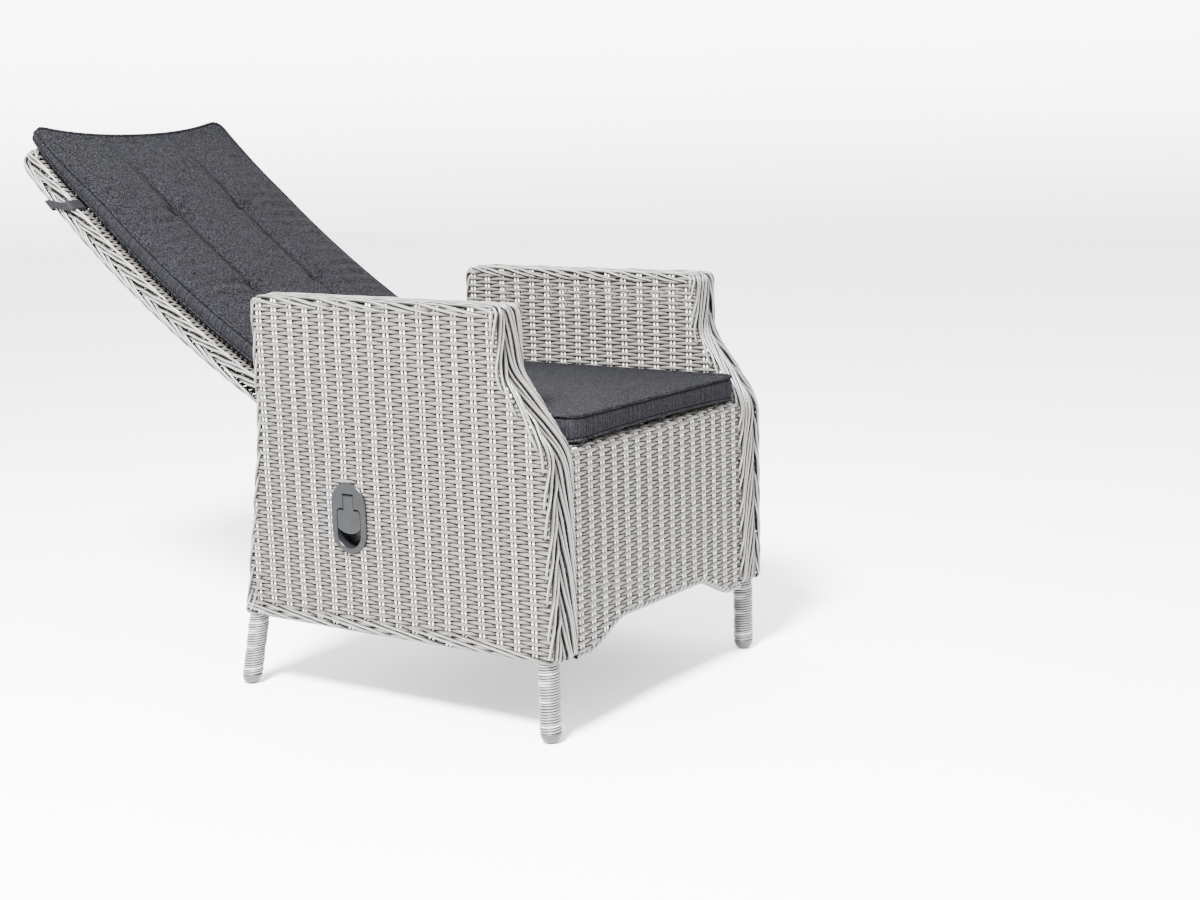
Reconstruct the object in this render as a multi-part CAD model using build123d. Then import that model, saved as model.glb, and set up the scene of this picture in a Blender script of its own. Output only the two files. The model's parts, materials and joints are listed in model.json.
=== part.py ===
from build123d import *
import math
import os

# A reclining garden armchair: aluminium tube frames covered with woven synthetic
# rattan, two loose cushions, and a locking gas spring under the seat that a flap
# in the sitter's right arm releases through a cable.
# Millimetres and degrees. X runs to the sitter's left, -Y the way the sitter
# faces, Z up. The pieces are drawn about the floor point between the legs, and
# moved at the end so that the origin is the middle of the box's underside.

# Driving dimensions of the chair
overall_width = 620
arm_width = 66
arm_top = 650
arm_underside = 126
arm_front = -327
arm_front_top = -243
arm_rear_top = 248
arm_rear_foot = 301
seat_height = 440
recline_angle = 34.8
recline_travel = 34

# The arm's outline, seen from its side
scroll_top = 552
scroll_bottom = 437
flare_top = 430
skirt_top = 160
skirt_rear = 291
arm_corner_radius = 14
scroll_upper_radius = 60
scroll_lower_radius = 70
foot_corner_radius = 8
skirt_radius = 40
flare_radius = 500

# Woven skins, borders and the frame inside an arm
fit_gap = 0.3
braid_depth = 7
skin_thickness = 5
skin_recess = 1.5
hoop_bar_width = 14
hoop_bar_depth = 18
spacer_side = 12
overrun = 5

# Legs
leg_tube_diameter = 20
leg_wrap_diameter = 33
leg_inset = 22
front_leg_y = -301
rear_leg_tip_y = 313
rear_leg_lean_share = 0.232
foot_cap_height = 17
foot_cap_round = 11
foot_cap_sides = 32
foot_cap_ring_shares = [(0.36, 0), (0.58, 0.05), (0.79, 0.21), (0.94, 0.52), (1, 1)]
leg_tube_top = 330

# Seat tubes
rail_size = 25
rail_wall = 2
seat_rear_y = 190
deck_thickness = 6
deck_bar_diameter = 16
deck_bar_x = 100
spring_mount_y = -60
apron_face_y = -323
apron_corner_radius = 10
apron_foot_z = 118
apron_crown_z = 154
apron_shoulder = 43.7
apron_slope_run = 78
apron_arch_radius = 70
apron_braid_height = 11
apron_braid_depth = 14
apron_bar = 14

# Fasteners
seat_bolt_diameter = 8
seat_bolt_head = 13
seat_bolt_head_height = 5
seat_bolt_front_y = -230
seat_bolt_rear_y = 120
hole_clearance = 0.1
pivot_diameter = 10
pivot_head_diameter = 16
pivot_head_height = 5
pivot_nut_height = 6
pivot_spacer_diameter = 18
running_clearance = 0.05

# Back
pivot_y = 230
back_length = 759
back_bow = 32
back_side_gap = 5
back_corner_radius = 26
back_thickness = 34
back_braid_width = 10
back_tube_diameter = 20
back_bar_diameter = 14
lowest_bar_diameter = 18
cross_bar_places = [30, 270, 510]
bow_pieces = 8
lug_neck_half = 8
bush_wall = 1.5
back_lower_end = 15
back_tube_corner = 45
lug_radius = 12
lug_thickness = 8
back_skin_thickness = 4.5

# Cushions
cushion_gap = 0.3
seat_cushion_thickness = 49
seat_cushion_crown = 9
seat_cushion_front = -328
seat_cushion_rear = 212
seat_cushion_side_gap = 2
back_cushion_thickness = 44
back_cushion_crown = 14
back_cushion_inset = 10
back_cushion_lower_end = 66
back_cushion_overhang = 17
back_cushion_top_sag = 16
back_cushion_sag_reach = 170
cushion_side_bulge = 5
crown_quarter_share = 0.8
crown_rise_share = 0.5
tuft_x = 80
tuft_upper = 525
tuft_lower = 298
tuft_depth = 11
channel_depth = 6
tuft_reach = 60
tuft_step_shares = [-1, -0.6, -0.3, 0, 0.3, 0.6, 1]
cushion_end_share = 0.035
cushion_end_height_share = 0.5
cushion_station_shares = [
    0, 0.006, 0.018, 0.035, 0.09, 0.18, 0.3, 0.42, 0.54, 0.66, 0.78, 0.9, 0.965, 0.982, 0.994, 1
]
strap_width = 20
strap_thickness = 1.5
strap_drop = 114.6
strap_return = 42

# Locking gas spring
bracket_radius = 84
bracket_plate_thickness = 4
bracket_gap = 20
bracket_boss_radius = 13
spring_mount_drop = 52
cylinder_diameter = 22
cylinder_bore = 18
cylinder_wall_end = 9
rod_diameter = 10
piston_length = 10
head_length = 62
head_width = 22
head_rear_reach = 24
head_corner_radius = 5.5
ear_half_height = 5.5
ear_root = 5
rod_showing = 15
piston_gap = 1.2
spring_pin_diameter = 8
eye_radius = 11
eye_width = 14
eye_stem = 24
eye_stem_diameter = 15
collar_width = 3
collar_rise = 3
clevis_plate_thickness = 4
clevis_side_gap = 1

# Release lever, cable and the flap in the arm
crank_pivot_reach = 50
crank_offset = 8
crank_arm = 28
crank_thickness = 3
crank_width = 9
crank_nose_radius = 3
crank_nose_lead = 1
crank_pin_diameter = 4
crank_pin_end = 1.5
crank_throw = 8
fork_low = 4.5
fork_high = 5.5
fork_slot_low = 1.2
fork_slot_high = 2.6
fork_slot_depth = 2
release_pin_diameter = 5
release_pin_seat = 8
release_pin_room = 2
cable_diameter = 5
cable_hole_reach = 8
cable_hole_drift = 2
cable_last_run = 41.4
cable_route_shares = [(0.16, 0.108, 0.126), (0.319, 0.335, 0.383), (0.511, 0.633, 0.706), (0.745, 0.88, 0.907)]
cable_hole_y = 55
cable_hole_rise = 25.7
cable_hole_diameter = 16
wire_diameter = 1.6
nipple_diameter = 6
nipple_length = 6
nipple_gap = 0.5
barrel_diameter = 9
barrel_neck = 6
barrel_length = 14
barrel_neck_reach = 3
socket_floor = 6
tongue_radius = 7
plate_y = 59
plate_drop = 131
plate_width = 70
plate_height = 113
plate_thickness = 3
plate_bevel = 1.2
cup_depth = 22
cup_wall = 2
paddle_width = 46
paddle_height = 37
paddle_corner_radius = 5
paddle_lower_radius = 36
opening_shoulder = 2.5
opening_corner_radius = 7
opening_bevel = 0.8
stem_width = 20
stem_height = 26
flap_gap = 1
flap_thickness = 5
flap_pin_diameter = 3
flap_pin_margin = 6
flap_pin_bite = 3
well_margin = 9
opening_margin = 18
pull_arm = 8.3
pull_reach = 6.5
pull_rise = 2.2
pull_drift = 0.3
pull_nipple_diameter = 4
pull_nipple_length = 7
pull_lug_width = 10
pull_lug_height = 12
pull_lug_depth = 9


# Shapes that several pieces are cut from

half_width = overall_width / 2
arm_inner_x = half_width - arm_width
leg_x = half_width - leg_inset
back_width = 2 * (arm_inner_x - back_side_gap)
pivot_z = seat_height
plate_z = seat_height - plate_drop
cable_hole_z = plate_z + cable_hole_rise


def slab(sketch, x_low, x_high):
    """A side view, drawn as (y, z), made solid from one x to another."""
    return Pos(x_low, 0, 0) * extrude(Plane.YZ * sketch, amount=x_high - x_low)


def box_between(low, high):
    """A box from its two opposite corners."""
    size = [b - a for a, b in zip(low, high)]
    middle = [(a + b) / 2 for a, b in zip(low, high)]
    return Pos(*middle) * Box(*size)


def rod_between(start, end, diameter):
    """A round bar from one point to another."""
    start, end = Vector(*start), Vector(*end)
    plane = Plane(origin=start, z_dir=end - start)
    return extrude(plane * Circle(diameter / 2), amount=(end - start).length)


def x_rod(y, z, x_low, x_high, diameter):
    """A round bar along X."""
    return rod_between((x_low, y, z), (x_high, y, z), diameter)


def other_side(piece):
    return mirror(piece, about=Plane.YZ)


def arm_outline():
    """The arm from its side: an S-curved front and a rear edge that follows the splayed leg."""
    corners = [
        (arm_front_top, arm_top),
        (arm_front_top, scroll_top),
        (arm_front, scroll_bottom),
        (arm_front, arm_underside),
        (arm_rear_foot, arm_underside),
        (skirt_rear, skirt_top),
        (arm_rear_top, flare_top),
        (arm_rear_top, arm_top),
    ]
    radii = [
        arm_corner_radius,
        scroll_upper_radius,
        scroll_lower_radius,
        foot_corner_radius,
        foot_corner_radius,
        skirt_radius,
        flare_radius,
        arm_corner_radius,
    ]
    return make_face(FilletPolyline(*corners, radius=radii, close=True))


def inset(outline, distance):
    return offset(outline, amount=-distance)


outline = arm_outline()
skin_outline = inset(outline, braid_depth + fit_gap)
hoop_inset = braid_depth + 2 * fit_gap
hoop_outline = inset(outline, hoop_inset)
hoop_inner_outline = inset(outline, hoop_inset + hoop_bar_depth)

outer_skin_x = -half_width + skin_recess
outer_hoop_x = outer_skin_x + skin_thickness + fit_gap
inner_skin_x = -arm_inner_x - skin_recess - skin_thickness
inner_hoop_x = inner_skin_x - fit_gap - hoop_bar_width

seat_rail_top = seat_height - deck_thickness - fit_gap
seat_rail_middle = seat_rail_top - rail_size / 2


# Legs: a tube inside a close wrapping of the same strand, on a domed plastic cap

def rear_leg_y(z):
    """The rear leg leans back towards the floor."""
    return rear_leg_tip_y - rear_leg_lean_share * z


def leg_span(is_front, z_low, z_high):
    """The two ends of a leg's axis between two heights, on the sitter's right."""
    if is_front:
        return (-leg_x, front_leg_y, z_low), (-leg_x, front_leg_y, z_high)
    low = (-leg_x, rear_leg_y(z_low), z_low)
    high = (-leg_x, rear_leg_y(z_high), z_high)
    return low, high


def leg_tube(is_front):
    low, high = leg_span(is_front, foot_cap_height / 2, leg_tube_top)
    return rod_between(low, high, leg_tube_diameter)


def leg_wrap(is_front):
    """The sleeve of wound strand, cut level at the cap and under the arm."""
    low, high = leg_span(is_front, 0, arm_underside + overrun)
    sleeve = rod_between(low, high, leg_wrap_diameter)
    bore = rod_between(
        leg_span(is_front, 0, 0)[0],
        leg_span(is_front, 0, leg_tube_top)[1],
        leg_tube_diameter + 2 * fit_gap,
    )
    bottom = foot_cap_height + fit_gap
    top = arm_underside - fit_gap
    reach = arm_rear_foot + leg_wrap_diameter
    level = box_between((-half_width, -reach, bottom), (-arm_inner_x, reach, top))
    return (sleeve & level) - bore


def foot_cap(is_front):
    """A moulded dome, made of many flat facets, with a flat where it meets the floor."""
    x, y, floor = leg_span(is_front, 0, foot_cap_height)[0]
    radius = leg_wrap_diameter / 2
    rings = []
    for radius_share, height_share in foot_cap_ring_shares:
        height = floor + height_share * foot_cap_round
        rings.append(Pos(x, y, height) * RegularPolygon(radius_share * radius, foot_cap_sides))
    rings.append(Pos(x, y, foot_cap_height) * RegularPolygon(radius, foot_cap_sides))
    cap = loft(rings, ruled=True)
    socket_low, socket_high = leg_span(is_front, foot_cap_height / 2, foot_cap_height + overrun)
    socket = rod_between(socket_low, socket_high, leg_tube_diameter + 2 * fit_gap)
    return cap - socket


# Arm: two hoops of flat bar joined by spacers and the legs, an outer and an inner
# woven skin, and a braided border round the narrow faces

def seat_bolt_places():
    return [seat_bolt_front_y, seat_bolt_rear_y]


def arm_frame():
    ring = hoop_outline - hoop_inner_outline
    rail_zone = Pos((arm_front + arm_rear_foot) / 2, seat_rail_middle) * Rectangle(
        arm_rear_foot - arm_front, hoop_bar_depth
    )
    side_view = ring + (hoop_inner_outline & rail_zone)
    frame = slab(side_view, outer_hoop_x, outer_hoop_x + hoop_bar_width)
    frame += slab(side_view, inner_hoop_x, inner_hoop_x + hoop_bar_width)
    bar_middle = hoop_inset + hoop_bar_depth / 2
    low_z = arm_underside + bar_middle
    high_z = arm_top - bar_middle
    spacers = [
        (front_leg_y, low_z),
        (front_leg_y, leg_tube_top - leg_tube_diameter),
        (arm_front_top + bar_middle, high_z),
        (arm_rear_top - bar_middle, high_z),
        (rear_leg_y(low_z), low_z),
        (rear_leg_y(leg_tube_top) - leg_tube_diameter / 4, leg_tube_top - leg_tube_diameter / 2),
        (seat_bolt_front_y - hoop_bar_depth, seat_rail_middle),
        (plate_y, seat_rail_middle),
        (plate_y, high_z),
    ]
    for y, z in spacers:
        spacer = Pos(y, z) * Rectangle(spacer_side, spacer_side)
        frame += slab(spacer, outer_hoop_x, inner_hoop_x + hoop_bar_width)
    for is_front in (True, False):
        frame += leg_tube(is_front)
    for y in seat_bolt_places():
        frame -= x_rod(
            y, seat_rail_middle, inner_hoop_x - overrun, -arm_inner_x, seat_bolt_diameter + 2 * hole_clearance
        )
    frame -= x_rod(
        pivot_y, pivot_z, inner_hoop_x - overrun, -arm_inner_x, pivot_diameter + 2 * hole_clearance
    )
    return frame


def stadium(width, height):
    """A plate outline with round ends, drawn as (y, z)."""
    return Pos(plate_y, plate_z) * RectangleRounded(width, height, width / 2 - hole_clearance)


cup_width = paddle_width + 2 * (flap_gap + cup_wall)
cup_height = plate_height - (plate_width - cup_width)


def arm_skin_outer(has_lever):
    skin = slab(skin_outline, outer_skin_x, outer_skin_x + skin_thickness)
    if has_lever:
        hole = stadium(cup_width + 2 * fit_gap, cup_height + 2 * fit_gap)
        skin -= slab(hole, outer_skin_x - overrun, outer_skin_x + skin_thickness + overrun)
    return skin


def arm_skin_inner(has_lever):
    skin = slab(skin_outline, inner_skin_x, inner_skin_x + skin_thickness)
    for y in seat_bolt_places():
        bolt_hole = seat_bolt_diameter + 2 * flap_gap
        skin -= x_rod(y, seat_rail_middle, inner_skin_x - overrun, -arm_inner_x + overrun, bolt_hole)
    skin -= x_rod(
        pivot_y, pivot_z, inner_skin_x - overrun, -arm_inner_x + overrun, pivot_spacer_diameter + 2 * fit_gap
    )
    if has_lever:
        skin -= x_rod(
            cable_hole_y, cable_hole_z, inner_skin_x - overrun, -arm_inner_x + overrun, cable_hole_diameter
        )
    return skin


def arm_braid():
    """The braid is drawn thin where it passes over the legs."""
    band = slab(outline - inset(outline, braid_depth), -half_width, -arm_inner_x)
    for is_front in (True, False):
        low, high = leg_span(is_front, 0, leg_tube_top)
        band -= rod_between(low, high, leg_tube_diameter + 2 * fit_gap)
    return band


# Seat: a welded rectangle of square tube with a woven deck on it

inner_face = arm_inner_x - fit_gap


def square_tube_x(y_middle, z_middle, x_low, x_high):
    section = Rectangle(rail_size, rail_size) - Rectangle(rail_size - 2 * rail_wall, rail_size - 2 * rail_wall)
    return slab(Pos(y_middle, z_middle) * section, x_low, x_high)


apron_skin_rear = apron_face_y + skin_thickness
front_rail_y = apron_skin_rear + fit_gap + rail_size / 2
rear_rail_y = seat_rear_y - rail_size / 2
side_rail_x = inner_face - rail_size / 2


def seat_front_rail():
    return square_tube_x(front_rail_y, seat_rail_middle, -inner_face, inner_face)


def seat_rear_rail():
    reach = side_rail_x - rail_size / 2
    return square_tube_x(rear_rail_y, seat_rail_middle, -reach, reach)


def seat_middle_rail():
    reach = side_rail_x - rail_size / 2
    return square_tube_x(spring_mount_y, seat_rail_middle, -reach, reach)


def seat_side_rail():
    y_low = front_rail_y + rail_size / 2
    section = Rectangle(rail_size, rail_size) - Rectangle(rail_size - 2 * rail_wall, rail_size - 2 * rail_wall)
    rail = extrude(Plane.XZ * section, amount=-(seat_rear_y - y_low))
    rail = Pos(-side_rail_x, y_low, seat_rail_middle) * rail
    for y in seat_bolt_places():
        rail -= x_rod(
            y, seat_rail_middle, -arm_inner_x, -side_rail_x + rail_size, seat_bolt_diameter + 2 * hole_clearance
        )
    return rail


def deck_bar(x, is_front):
    """A round bar under the deck, between two of the cross rails."""
    z = seat_rail_top - deck_bar_diameter / 2
    low, high = front_rail_y, spring_mount_y
    if not is_front:
        low, high = spring_mount_y, rear_rail_y
    start = (x, low + rail_size / 2, z)
    end = (x, high - rail_size / 2, z)
    return rod_between(start, end, deck_bar_diameter)


def seat_deck():
    return box_between(
        (-inner_face, front_rail_y + rail_size / 2, seat_height - deck_thickness),
        (inner_face, seat_rear_y, seat_height),
    )


def seat_bolts():
    """Four bolts from inside the arms through the skins into the side rails."""
    bolts = None
    for y in seat_bolt_places():
        inner_end = -side_rail_x + rail_size / 2 + seat_bolt_head_height
        head = x_rod(
            y, seat_rail_middle, inner_hoop_x - seat_bolt_head_height, inner_hoop_x, seat_bolt_head
        )
        shank = x_rod(y, seat_rail_middle, inner_hoop_x, inner_end, seat_bolt_diameter)
        nut_sketch = Pos(y, seat_rail_middle) * RegularPolygon(seat_bolt_head / 2, side_count=6)
        nut = slab(nut_sketch, inner_end - seat_bolt_head_height, inner_end)
        bolt = head + shank + nut
        bolts = bolt if bolts is None else bolts + bolt
    return bolts + other_side(bolts)


# Apron: the woven front below the seat, with an arched lower edge

def apron_region(rise):
    """The apron seen from the front, as (x, z), with its arch lifted by rise."""
    top = seat_height + apron_crown_z
    foot_x = inner_face - apron_shoulder
    crown_x = foot_x - apron_slope_run
    corners = [
        (-inner_face, top),
        (-inner_face, apron_foot_z + rise),
        (-foot_x, apron_foot_z + rise),
        (-crown_x, apron_crown_z + rise),
        (crown_x, apron_crown_z + rise),
        (foot_x, apron_foot_z + rise),
        (inner_face, apron_foot_z + rise),
        (inner_face, top),
    ]
    bend = apron_arch_radius
    radii = [0, 0, bend, bend, bend, bend, 0, 0]
    return make_face(FilletPolyline(*corners, radius=radii, close=True))


def apron_slab(region, y_low, y_high):
    return Pos(0, y_low, 0) * extrude(Plane.XZ * region, amount=-(y_high - y_low))


def apron_weave():
    """The weave comes up the front and bends back over the front rail."""
    flange_rear = front_rail_y + rail_size / 2 - fit_gap
    wrap = Pos((apron_face_y + flange_rear) / 2, seat_height / 2) * Rectangle(
        flange_rear - apron_face_y, seat_height
    )
    hollow_low = seat_rail_top + fit_gap
    hollow = Pos((apron_skin_rear + flange_rear + overrun) / 2, hollow_low / 2) * Rectangle(
        flange_rear + overrun - apron_skin_rear, hollow_low
    )
    bend = wrap.vertices().sort_by(Axis.Y)[-2:].sort_by(Axis.X)[0]
    section = fillet(bend, radius=apron_corner_radius) - hollow
    whole = slab(section, -inner_face, inner_face)
    region = apron_region(apron_braid_height + fit_gap)
    return whole & apron_slab(region, apron_face_y - overrun, flange_rear + overrun)


def apron_braid():
    region = apron_region(0) - apron_region(apron_braid_height)
    y_low = apron_face_y - skin_recess
    return apron_slab(region, y_low, y_low + apron_braid_depth)


def apron_frame():
    """An arched bar above the braid, with a post at each end up to the front rail."""
    lower = apron_braid_height + fit_gap
    y_low = apron_skin_rear + fit_gap
    arch = apron_region(lower) - apron_region(lower + apron_bar)
    frame = apron_slab(arch, y_low, y_low + apron_bar)
    post_top = seat_rail_top - rail_size
    post_low = apron_foot_z + lower + apron_bar / 2
    for x in (-inner_face, inner_face - apron_bar):
        frame += box_between((x, y_low, post_low), (x + apron_bar, y_low + apron_bar, post_top))
    return frame


# Back: a bowed panel that turns on two bolts at seat height. Places on it are given
# as (along, out): along the bow from the pivot, and out towards the sitter.

bow_radius = back_length**2 / (8 * back_bow) + back_bow / 2
bow_arc = 2 * bow_radius * math.asin(back_length / (2 * bow_radius))


def bow_point(along, out):
    angle = (along - bow_arc / 2) / bow_radius
    radius = bow_radius - out
    y = back_length / 2 + radius * math.sin(angle)
    z = bow_radius - back_bow - radius * math.cos(angle)
    return y, z


def bow_line(along, out, end_along):
    middle = (along + end_along) / 2
    return ThreePointArc(bow_point(along, out), bow_point(middle, out), bow_point(end_along, out))


def bow_strip(low, high, out_low, out_high):
    """A strip of even thickness along the bow, seen from the side."""
    return make_face([
        bow_line(low, out_low, high),
        Line(bow_point(high, out_low), bow_point(high, out_high)),
        bow_line(low, out_high, high),
        Line(bow_point(low, out_low), bow_point(low, out_high)),
    ])


def bow_plane(along):
    """The plane square to the bow, with X across the back and Y towards the sitter."""
    angle = math.degrees((along - bow_arc / 2) / bow_radius)
    y, z = bow_point(along, 0)
    return Plane(origin=(0, y, z)) * Rotation(angle, 0, 0) * Plane.XZ.location


rest_place = Pos(0, pivot_y, pivot_z) * Rotation(recline_angle, 0, 0)


def panel_outline(edge, lower_end):
    """The back from the front, as (x, along the chord), with two rounded upper corners."""
    reach = back_width / 2 - edge
    top = back_length - edge
    corner = back_corner_radius - edge
    corners = [(-reach, lower_end), (-reach, top), (reach, top), (reach, lower_end)]
    return make_face(FilletPolyline(*corners, radius=[0, corner, corner, 0], close=True))


def panel_piece(side_view, front_view):
    """A side view and a front view of the panel, both carried through and crossed."""
    across = slab(side_view, -back_width, back_width)
    through = Pos(0, 0, -back_length) * extrude(front_view, amount=2 * back_length)
    return across & through


half_back = back_thickness / 2
tube_radius = back_tube_diameter / 2
back_tube_x = back_width / 2 - back_braid_width - 2 * fit_gap - tube_radius
skin_low = tube_radius + 2 * fit_gap
skin_high = skin_low + back_skin_thickness


def back_braid():
    whole = bow_strip(back_lower_end, bow_arc, -half_back, half_back)
    view = panel_outline(0, 0) - panel_outline(back_braid_width, -overrun)
    return rest_place * panel_piece(whole, view)


def back_skin(out_low, out_high):
    strip = bow_strip(back_lower_end, bow_arc, out_low, out_high)
    return rest_place * panel_piece(strip, panel_outline(back_braid_width + fit_gap, 0))


def back_frame():
    """A bent tube loop with cross bars, and a pierced lug at each lower end."""
    top_along = bow_arc - back_braid_width - 2 * fit_gap - tube_radius
    bend_along = top_along - back_tube_corner
    step = (bend_along - back_lower_end) / bow_pieces
    places = [bow_point(back_lower_end + number * step, 0) for number in range(bow_pieces + 1)]
    side = Polyline(*[(-back_tube_x, *place) for place in places])
    slope = (bend_along - bow_arc / 2) / bow_radius
    along = Vector(0, math.cos(slope), math.sin(slope))
    corner_start = side @ 1
    corner_end = corner_start + along * back_tube_corner + Vector(back_tube_corner, 0, 0)
    corner = TangentArc(corner_start, corner_end, tangent=along)
    half_top = Line(corner_end, Vector(0, corner_end.Y, corner_end.Z))
    section = Plane(origin=side @ 0, z_dir=side % 0) * Circle(tube_radius)
    path = Wire([*side.edges(), corner, half_top])
    half_loop = sweep(section, path=path, transition=Transition.RIGHT)
    neck = bow_strip(0, back_lower_end + tube_radius, -lug_neck_half, lug_neck_half)
    lug_sketch = Circle(lug_radius) + neck
    lug = slab(lug_sketch, -back_tube_x - lug_thickness / 2, -back_tube_x + lug_thickness / 2)
    half_frame = half_loop + lug
    half_frame -= x_rod(
        0, 0, -back_width, 0, pivot_diameter + 2 * running_clearance + 2 * bush_wall
    )
    frame = half_frame + other_side(half_frame)
    for place in cross_bar_places:
        y, z = bow_point(place, 0)
        diameter = lowest_bar_diameter if place == cross_bar_places[0] else back_bar_diameter
        frame += x_rod(y, z, -back_tube_x, back_tube_x, diameter)
    return rest_place * frame


spacer_start_x = inner_skin_x - fit_gap
lug_outer_x = -back_tube_x - lug_thickness / 2
lug_inner_x = -back_tube_x + lug_thickness / 2


def both_sides(piece):
    return piece + other_side(piece)


def pivot_bolts():
    """Shoulder bolts through the inner hoops, each with its nut inside the back's lug."""
    end = lug_inner_x + fit_gap + pivot_nut_height
    bolt = x_rod(pivot_y, pivot_z, inner_hoop_x - pivot_head_height, inner_hoop_x, pivot_head_diameter)
    bolt += x_rod(pivot_y, pivot_z, inner_hoop_x, end, pivot_diameter)
    nut = Pos(pivot_y, pivot_z) * RegularPolygon(pivot_head_diameter / 2, side_count=6)
    bolt += slab(nut, end - pivot_nut_height, end)
    return both_sides(bolt)


def pivot_spacers():
    """Nylon spacers that keep the back clear of the arms."""
    reach = lug_outer_x - fit_gap
    spacer = x_rod(pivot_y, pivot_z, spacer_start_x, reach, pivot_spacer_diameter)
    spacer -= x_rod(
        pivot_y, pivot_z, spacer_start_x - overrun, reach + overrun, pivot_diameter + 2 * hole_clearance
    )
    return both_sides(spacer)


def pivot_bushes():
    """A nylon bush pressed into each lug."""
    bush = x_rod(
        pivot_y, pivot_z, lug_outer_x, lug_inner_x, pivot_diameter + 2 * running_clearance + 2 * bush_wall
    )
    bush -= x_rod(
        pivot_y, pivot_z, lug_outer_x - overrun, lug_inner_x + overrun, pivot_diameter + 2 * running_clearance
    )
    return both_sides(bush)


# Recline linkage: a bracket on the back's lowest bar, a locking gas spring and a
# clevis under the seat's middle rail

bracket_rest_angle = -90 - recline_travel / 2


def bracket_end(travel):
    """Where the bracket holds the spring, with the back raised by travel degrees."""
    angle = math.radians(bracket_rest_angle + travel)
    return pivot_y + bracket_radius * math.cos(angle), pivot_z + bracket_radius * math.sin(angle)


mount_z = pivot_z - spring_mount_drop
rest_end = bracket_end(0)
raised_end = bracket_end(recline_travel)


def spring_length(end):
    return math.hypot(end[0] - spring_mount_y, end[1] - mount_z)


def spring_angle(end):
    return math.degrees(math.atan2(end[1] - mount_z, end[0] - spring_mount_y))


rest_length = spring_length(rest_end)
stroke = spring_length(raised_end) - rest_length
swing = spring_angle(raised_end) - spring_angle(rest_end)
spring_place = Pos(0, spring_mount_y, mount_z) * Rotation(spring_angle(rest_end), 0, 0)
slot_width = spring_pin_diameter + 4 * fit_gap
slot_travel = bracket_radius * (1 - math.cos(math.radians(recline_travel / 2)))


def lowest_bar():
    """The middle of the back's lowest bar, in the chair's own frame."""
    bar_y, bar_z = bow_point(cross_bar_places[0], 0)
    turn = math.radians(recline_angle)
    return (
        pivot_y + bar_y * math.cos(turn) - bar_z * math.sin(turn),
        pivot_z + bar_y * math.sin(turn) + bar_z * math.cos(turn),
    )


def bracket_plate(margin):
    upper = Pos(*lowest_bar()) * Circle(bracket_boss_radius + margin)
    lower = Pos(*rest_end) * Circle(bracket_boss_radius + margin)
    return make_hull(upper.edges() + lower.edges())


def bracket_space():
    """The slits in the woven skins that the bracket's plates come out of."""
    near = bracket_gap / 2
    far = near + bracket_plate_thickness
    return both_sides(slab(bracket_plate(fit_gap), -far - fit_gap, -near + fit_gap))


def recline_bracket():
    """Two pierced plates on the lowest bar. The slot lets the pin follow the bracket's arc."""
    bar = lowest_bar()
    plate = bracket_plate(0)
    inward = math.degrees(math.atan2(pivot_z - rest_end[1], pivot_y - rest_end[0]))
    slot_middle_reach = bracket_radius - slot_travel / 2
    angle = math.radians(bracket_rest_angle)
    slot_place = Pos(
        pivot_y + slot_middle_reach * math.cos(angle), pivot_z + slot_middle_reach * math.sin(angle)
    )
    slot = slot_place * Rot(0, 0, inward) * SlotCenterToCenter(slot_travel + 2 * fit_gap, slot_width)
    bar_hole = Pos(*bar) * Circle(lowest_bar_diameter / 2 + hole_clearance)
    plate = plate - slot - bar_hole
    near = bracket_gap / 2
    right = slab(plate, -near - bracket_plate_thickness, -near)
    return both_sides(right)


cylinder_start = head_rear_reach + rod_showing
cylinder_end = rest_length - eye_stem


def gas_cylinder():
    """The pressure tube, with a guide at the rod's end."""
    tube = rod_between((0, cylinder_start, 0), (0, cylinder_end, 0), cylinder_diameter)
    tube -= rod_between(
        (0, cylinder_start + cylinder_wall_end, 0), (0, cylinder_end - cylinder_wall_end, 0), cylinder_bore
    )
    tube -= rod_between(
        (0, cylinder_start - overrun, 0),
        (0, cylinder_start + 2 * cylinder_wall_end, 0),
        rod_diameter + 2 * running_clearance,
    )
    return spring_place * tube


piston_end = cylinder_end - cylinder_wall_end - piston_gap


def gas_rod():
    rod = rod_between((0, head_rear_reach, 0), (0, piston_end, 0), rod_diameter)
    piston_start = piston_end - piston_length
    rod += rod_between((0, piston_start, 0), (0, piston_end, 0), cylinder_bore - 2 * fit_gap)
    return spring_place * rod


def gas_eye():
    """The eye screwed into the cylinder's closed end."""
    ring = x_rod(rest_length, 0, -eye_width / 2, eye_width / 2, 2 * eye_radius)
    stem = rod_between((0, cylinder_end, 0), (0, rest_length, 0), eye_stem_diameter)
    eye = ring + stem
    eye -= x_rod(rest_length, 0, -eye_width, eye_width, spring_pin_diameter + 2 * running_clearance)
    return spring_place * eye


def spring_pin(place_y, place_z, reach):
    """A clevis pin with a head at one end and a clip collar at the other."""
    pin = x_rod(place_y, place_z, -reach, reach, spring_pin_diameter)
    collar = spring_pin_diameter + collar_rise
    pin += x_rod(place_y, place_z, -reach, -reach + collar_width - fit_gap, collar)
    pin += x_rod(place_y, place_z, reach - collar_width + fit_gap, reach, collar)
    return pin


def rear_spring_pin():
    reach = bracket_gap / 2 + bracket_plate_thickness + collar_width
    return spring_place * spring_pin(rest_length, 0, reach)


clevis_inner = head_width / 2 + clevis_side_gap
clevis_outer = clevis_inner + clevis_plate_thickness
head_front = head_rear_reach - head_length
crank_y = -crank_pivot_reach
arm_end_y = crank_y - crank_arm


def front_spring_pin():
    reach = clevis_outer + collar_width
    return spring_pin(spring_mount_y, mount_z, reach)


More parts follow.
